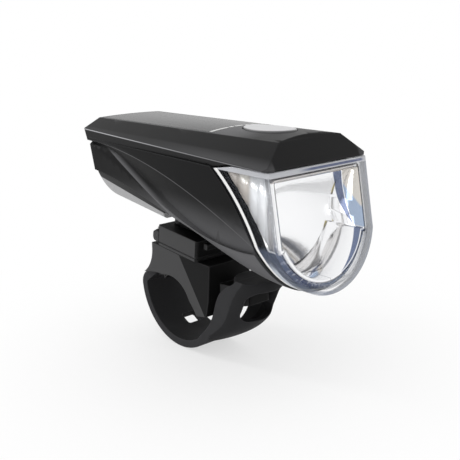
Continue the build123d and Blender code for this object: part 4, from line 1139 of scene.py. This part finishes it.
class HEADLIGHT_OT_inside(bpy.types.Operator):
    """Finish what the lamp holds inside, and its screws"""

    bl_idname = "headlight.inside"
    bl_label = "Inside parts"

    def execute(self, context):
        dress(pressed_aluminium("sink_aluminium", (0.72, 0.72, 0.74)), "heat_sink")
        dress(cell_wrap("cell_foil", (0.5, 0.52, 0.55)), "battery_pack")
        dress(circuit_skin("board_mask", (0.02, 0.12, 0.05), (0.05, 0.2, 0.09)), "circuit_board")
        dress(plated_steel("screw_steel", (0.6, 0.6, 0.61)),
              "button_switch", "charging_socket", "case_screws", "rail_screws", "lever_pin",
              "swivel_screw", "swivel_washer")
        dress(soft_rubber("flap_rubber", (0.013, 0.013, 0.014)), "port_cover")
        return {"FINISHED"}


class HEADLIGHT_OT_bracket(bpy.types.Operator):
    """Finish the rail, the slide block, the lever, the saddle and the strap"""

    bl_idname = "headlight.bracket"
    bl_label = "Bracket"

    def execute(self, context):
        colours = context.scene.headlight_colours
        dress(bracket_moulded("bracket_black", colours.bracket),
              "mount_rail", "slide_block", "release_lever", "clamp_saddle")
        dress(soft_rubber("strap_rubber", colours.strap), "rubber_strap")
        return {"FINISHED"}


# Stage


def add_to_scene(name, data, place=(0, 0, 0)):
    """Puts a new object in the scene."""
    thing = bpy.data.objects.new(name, data)
    bpy.context.scene.collection.objects.link(thing)
    thing.location = place
    return thing


def aim(thing, towards, roll=0.0):
    """Turns a camera or a light to look at a point."""
    forward = (Vector(towards) - thing.location).normalized()
    turn = forward.to_track_quat("-Z", "Y").to_matrix().to_4x4()
    thing.matrix_world = (
        Matrix.Translation(thing.location) @ turn @ Matrix.Rotation(roll, 4, "Z")
    )


class HEADLIGHT_OT_stage(bpy.types.Operator):
    """Set up the floor, the light and the camera"""

    bl_idname = "headlight.stage"
    bl_label = "Stage"

    def execute(self, context):
        studio = context.scene.headlight_studio
        shape = bmesh.new()
        bmesh.ops.create_grid(shape, x_segments=8, y_segments=8, size=FLOOR_HALF)
        bmesh.ops.translate(shape, verts=shape.verts, vec=(0, 0, CAD_BOX[0][2] - FLOOR_GAP))
        mesh = bpy.data.meshes.new("floor")
        shape.to_mesh(mesh)
        shape.free()
        mesh.materials.append(pale_floor("floor_pale", studio.floor))
        add_to_scene("floor", mesh)

        context.scene.world = bpy.data.worlds.new("studio")
        white_surround(context.scene.world)

        for name, place, size, power in (
            ("key_light", KEY_PLACE, KEY_SIZE, studio.key_power),
            ("fill_light", FILL_PLACE, FILL_SIZE, studio.fill_power),
        ):
            light = bpy.data.lights.new(name, "AREA")
            light.size = size
            light.energy = power
            aim(add_to_scene(name, light, place), LIGHT_AIM)

        camera = bpy.data.cameras.new("studio_camera")
        camera.lens = studio.lens_length
        camera.clip_start = 0.01
        holder = add_to_scene("studio_camera", camera, CAMERA_PLACE)
        aim(holder, CAMERA_PLACE + CAMERA_LOOK, CAMERA_ROLL)
        context.scene.camera = holder

        context.scene.view_settings.view_transform = "Standard"
        return {"FINISHED"}


class HEADLIGHT_PT_panel(bpy.types.Panel):
    """Lists the headlight's pieces and settings"""

    bl_idname = "HEADLIGHT_PT_panel"
    bl_label = "Headlight"
    bl_space_type = "VIEW_3D"
    bl_region_type = "UI"
    bl_category = "Headlight"

    def draw(self, context):
        layout = self.layout
        for operator in PIECES:
            layout.operator(operator.bl_idname)
        scene = context.scene
        for group in (scene.headlight_colours, scene.headlight_optics, scene.headlight_studio):
            box = layout.box()
            for name in group.__annotations__:
                box.prop(group, name)


PIECES = (
    HEADLIGHT_OT_housing,
    HEADLIGHT_OT_controls,
    HEADLIGHT_OT_optics,
    HEADLIGHT_OT_reflector,
    HEADLIGHT_OT_bezel,
    HEADLIGHT_OT_flutes,
    HEADLIGHT_OT_inside,
    HEADLIGHT_OT_bracket,
    HEADLIGHT_OT_stage,
)
CLASSES = (HeadlightColours, OpticsSizes, StudioSettings) + PIECES + (HEADLIGHT_PT_panel,)


def register():
    for cls in CLASSES:
        bpy.utils.register_class(cls)
    bpy.types.Scene.headlight_colours = PointerProperty(type=HeadlightColours)
    bpy.types.Scene.headlight_optics = PointerProperty(type=OpticsSizes)
    bpy.types.Scene.headlight_studio = PointerProperty(type=StudioSettings)


def unregister():
    del bpy.types.Scene.headlight_studio
    del bpy.types.Scene.headlight_optics
    del bpy.types.Scene.headlight_colours
    for cls in reversed(CLASSES):
        bpy.utils.unregister_class(cls)


def main():
    register()
    bpy.ops.headlight.housing()
    bpy.ops.headlight.controls()
    bpy.ops.headlight.optics()
    bpy.ops.headlight.reflector()
    bpy.ops.headlight.bezel()
    bpy.ops.headlight.flutes()
    bpy.ops.headlight.inside()
    bpy.ops.headlight.bracket()
    bpy.ops.headlight.stage()


if __name__ == "__main__":
    main()
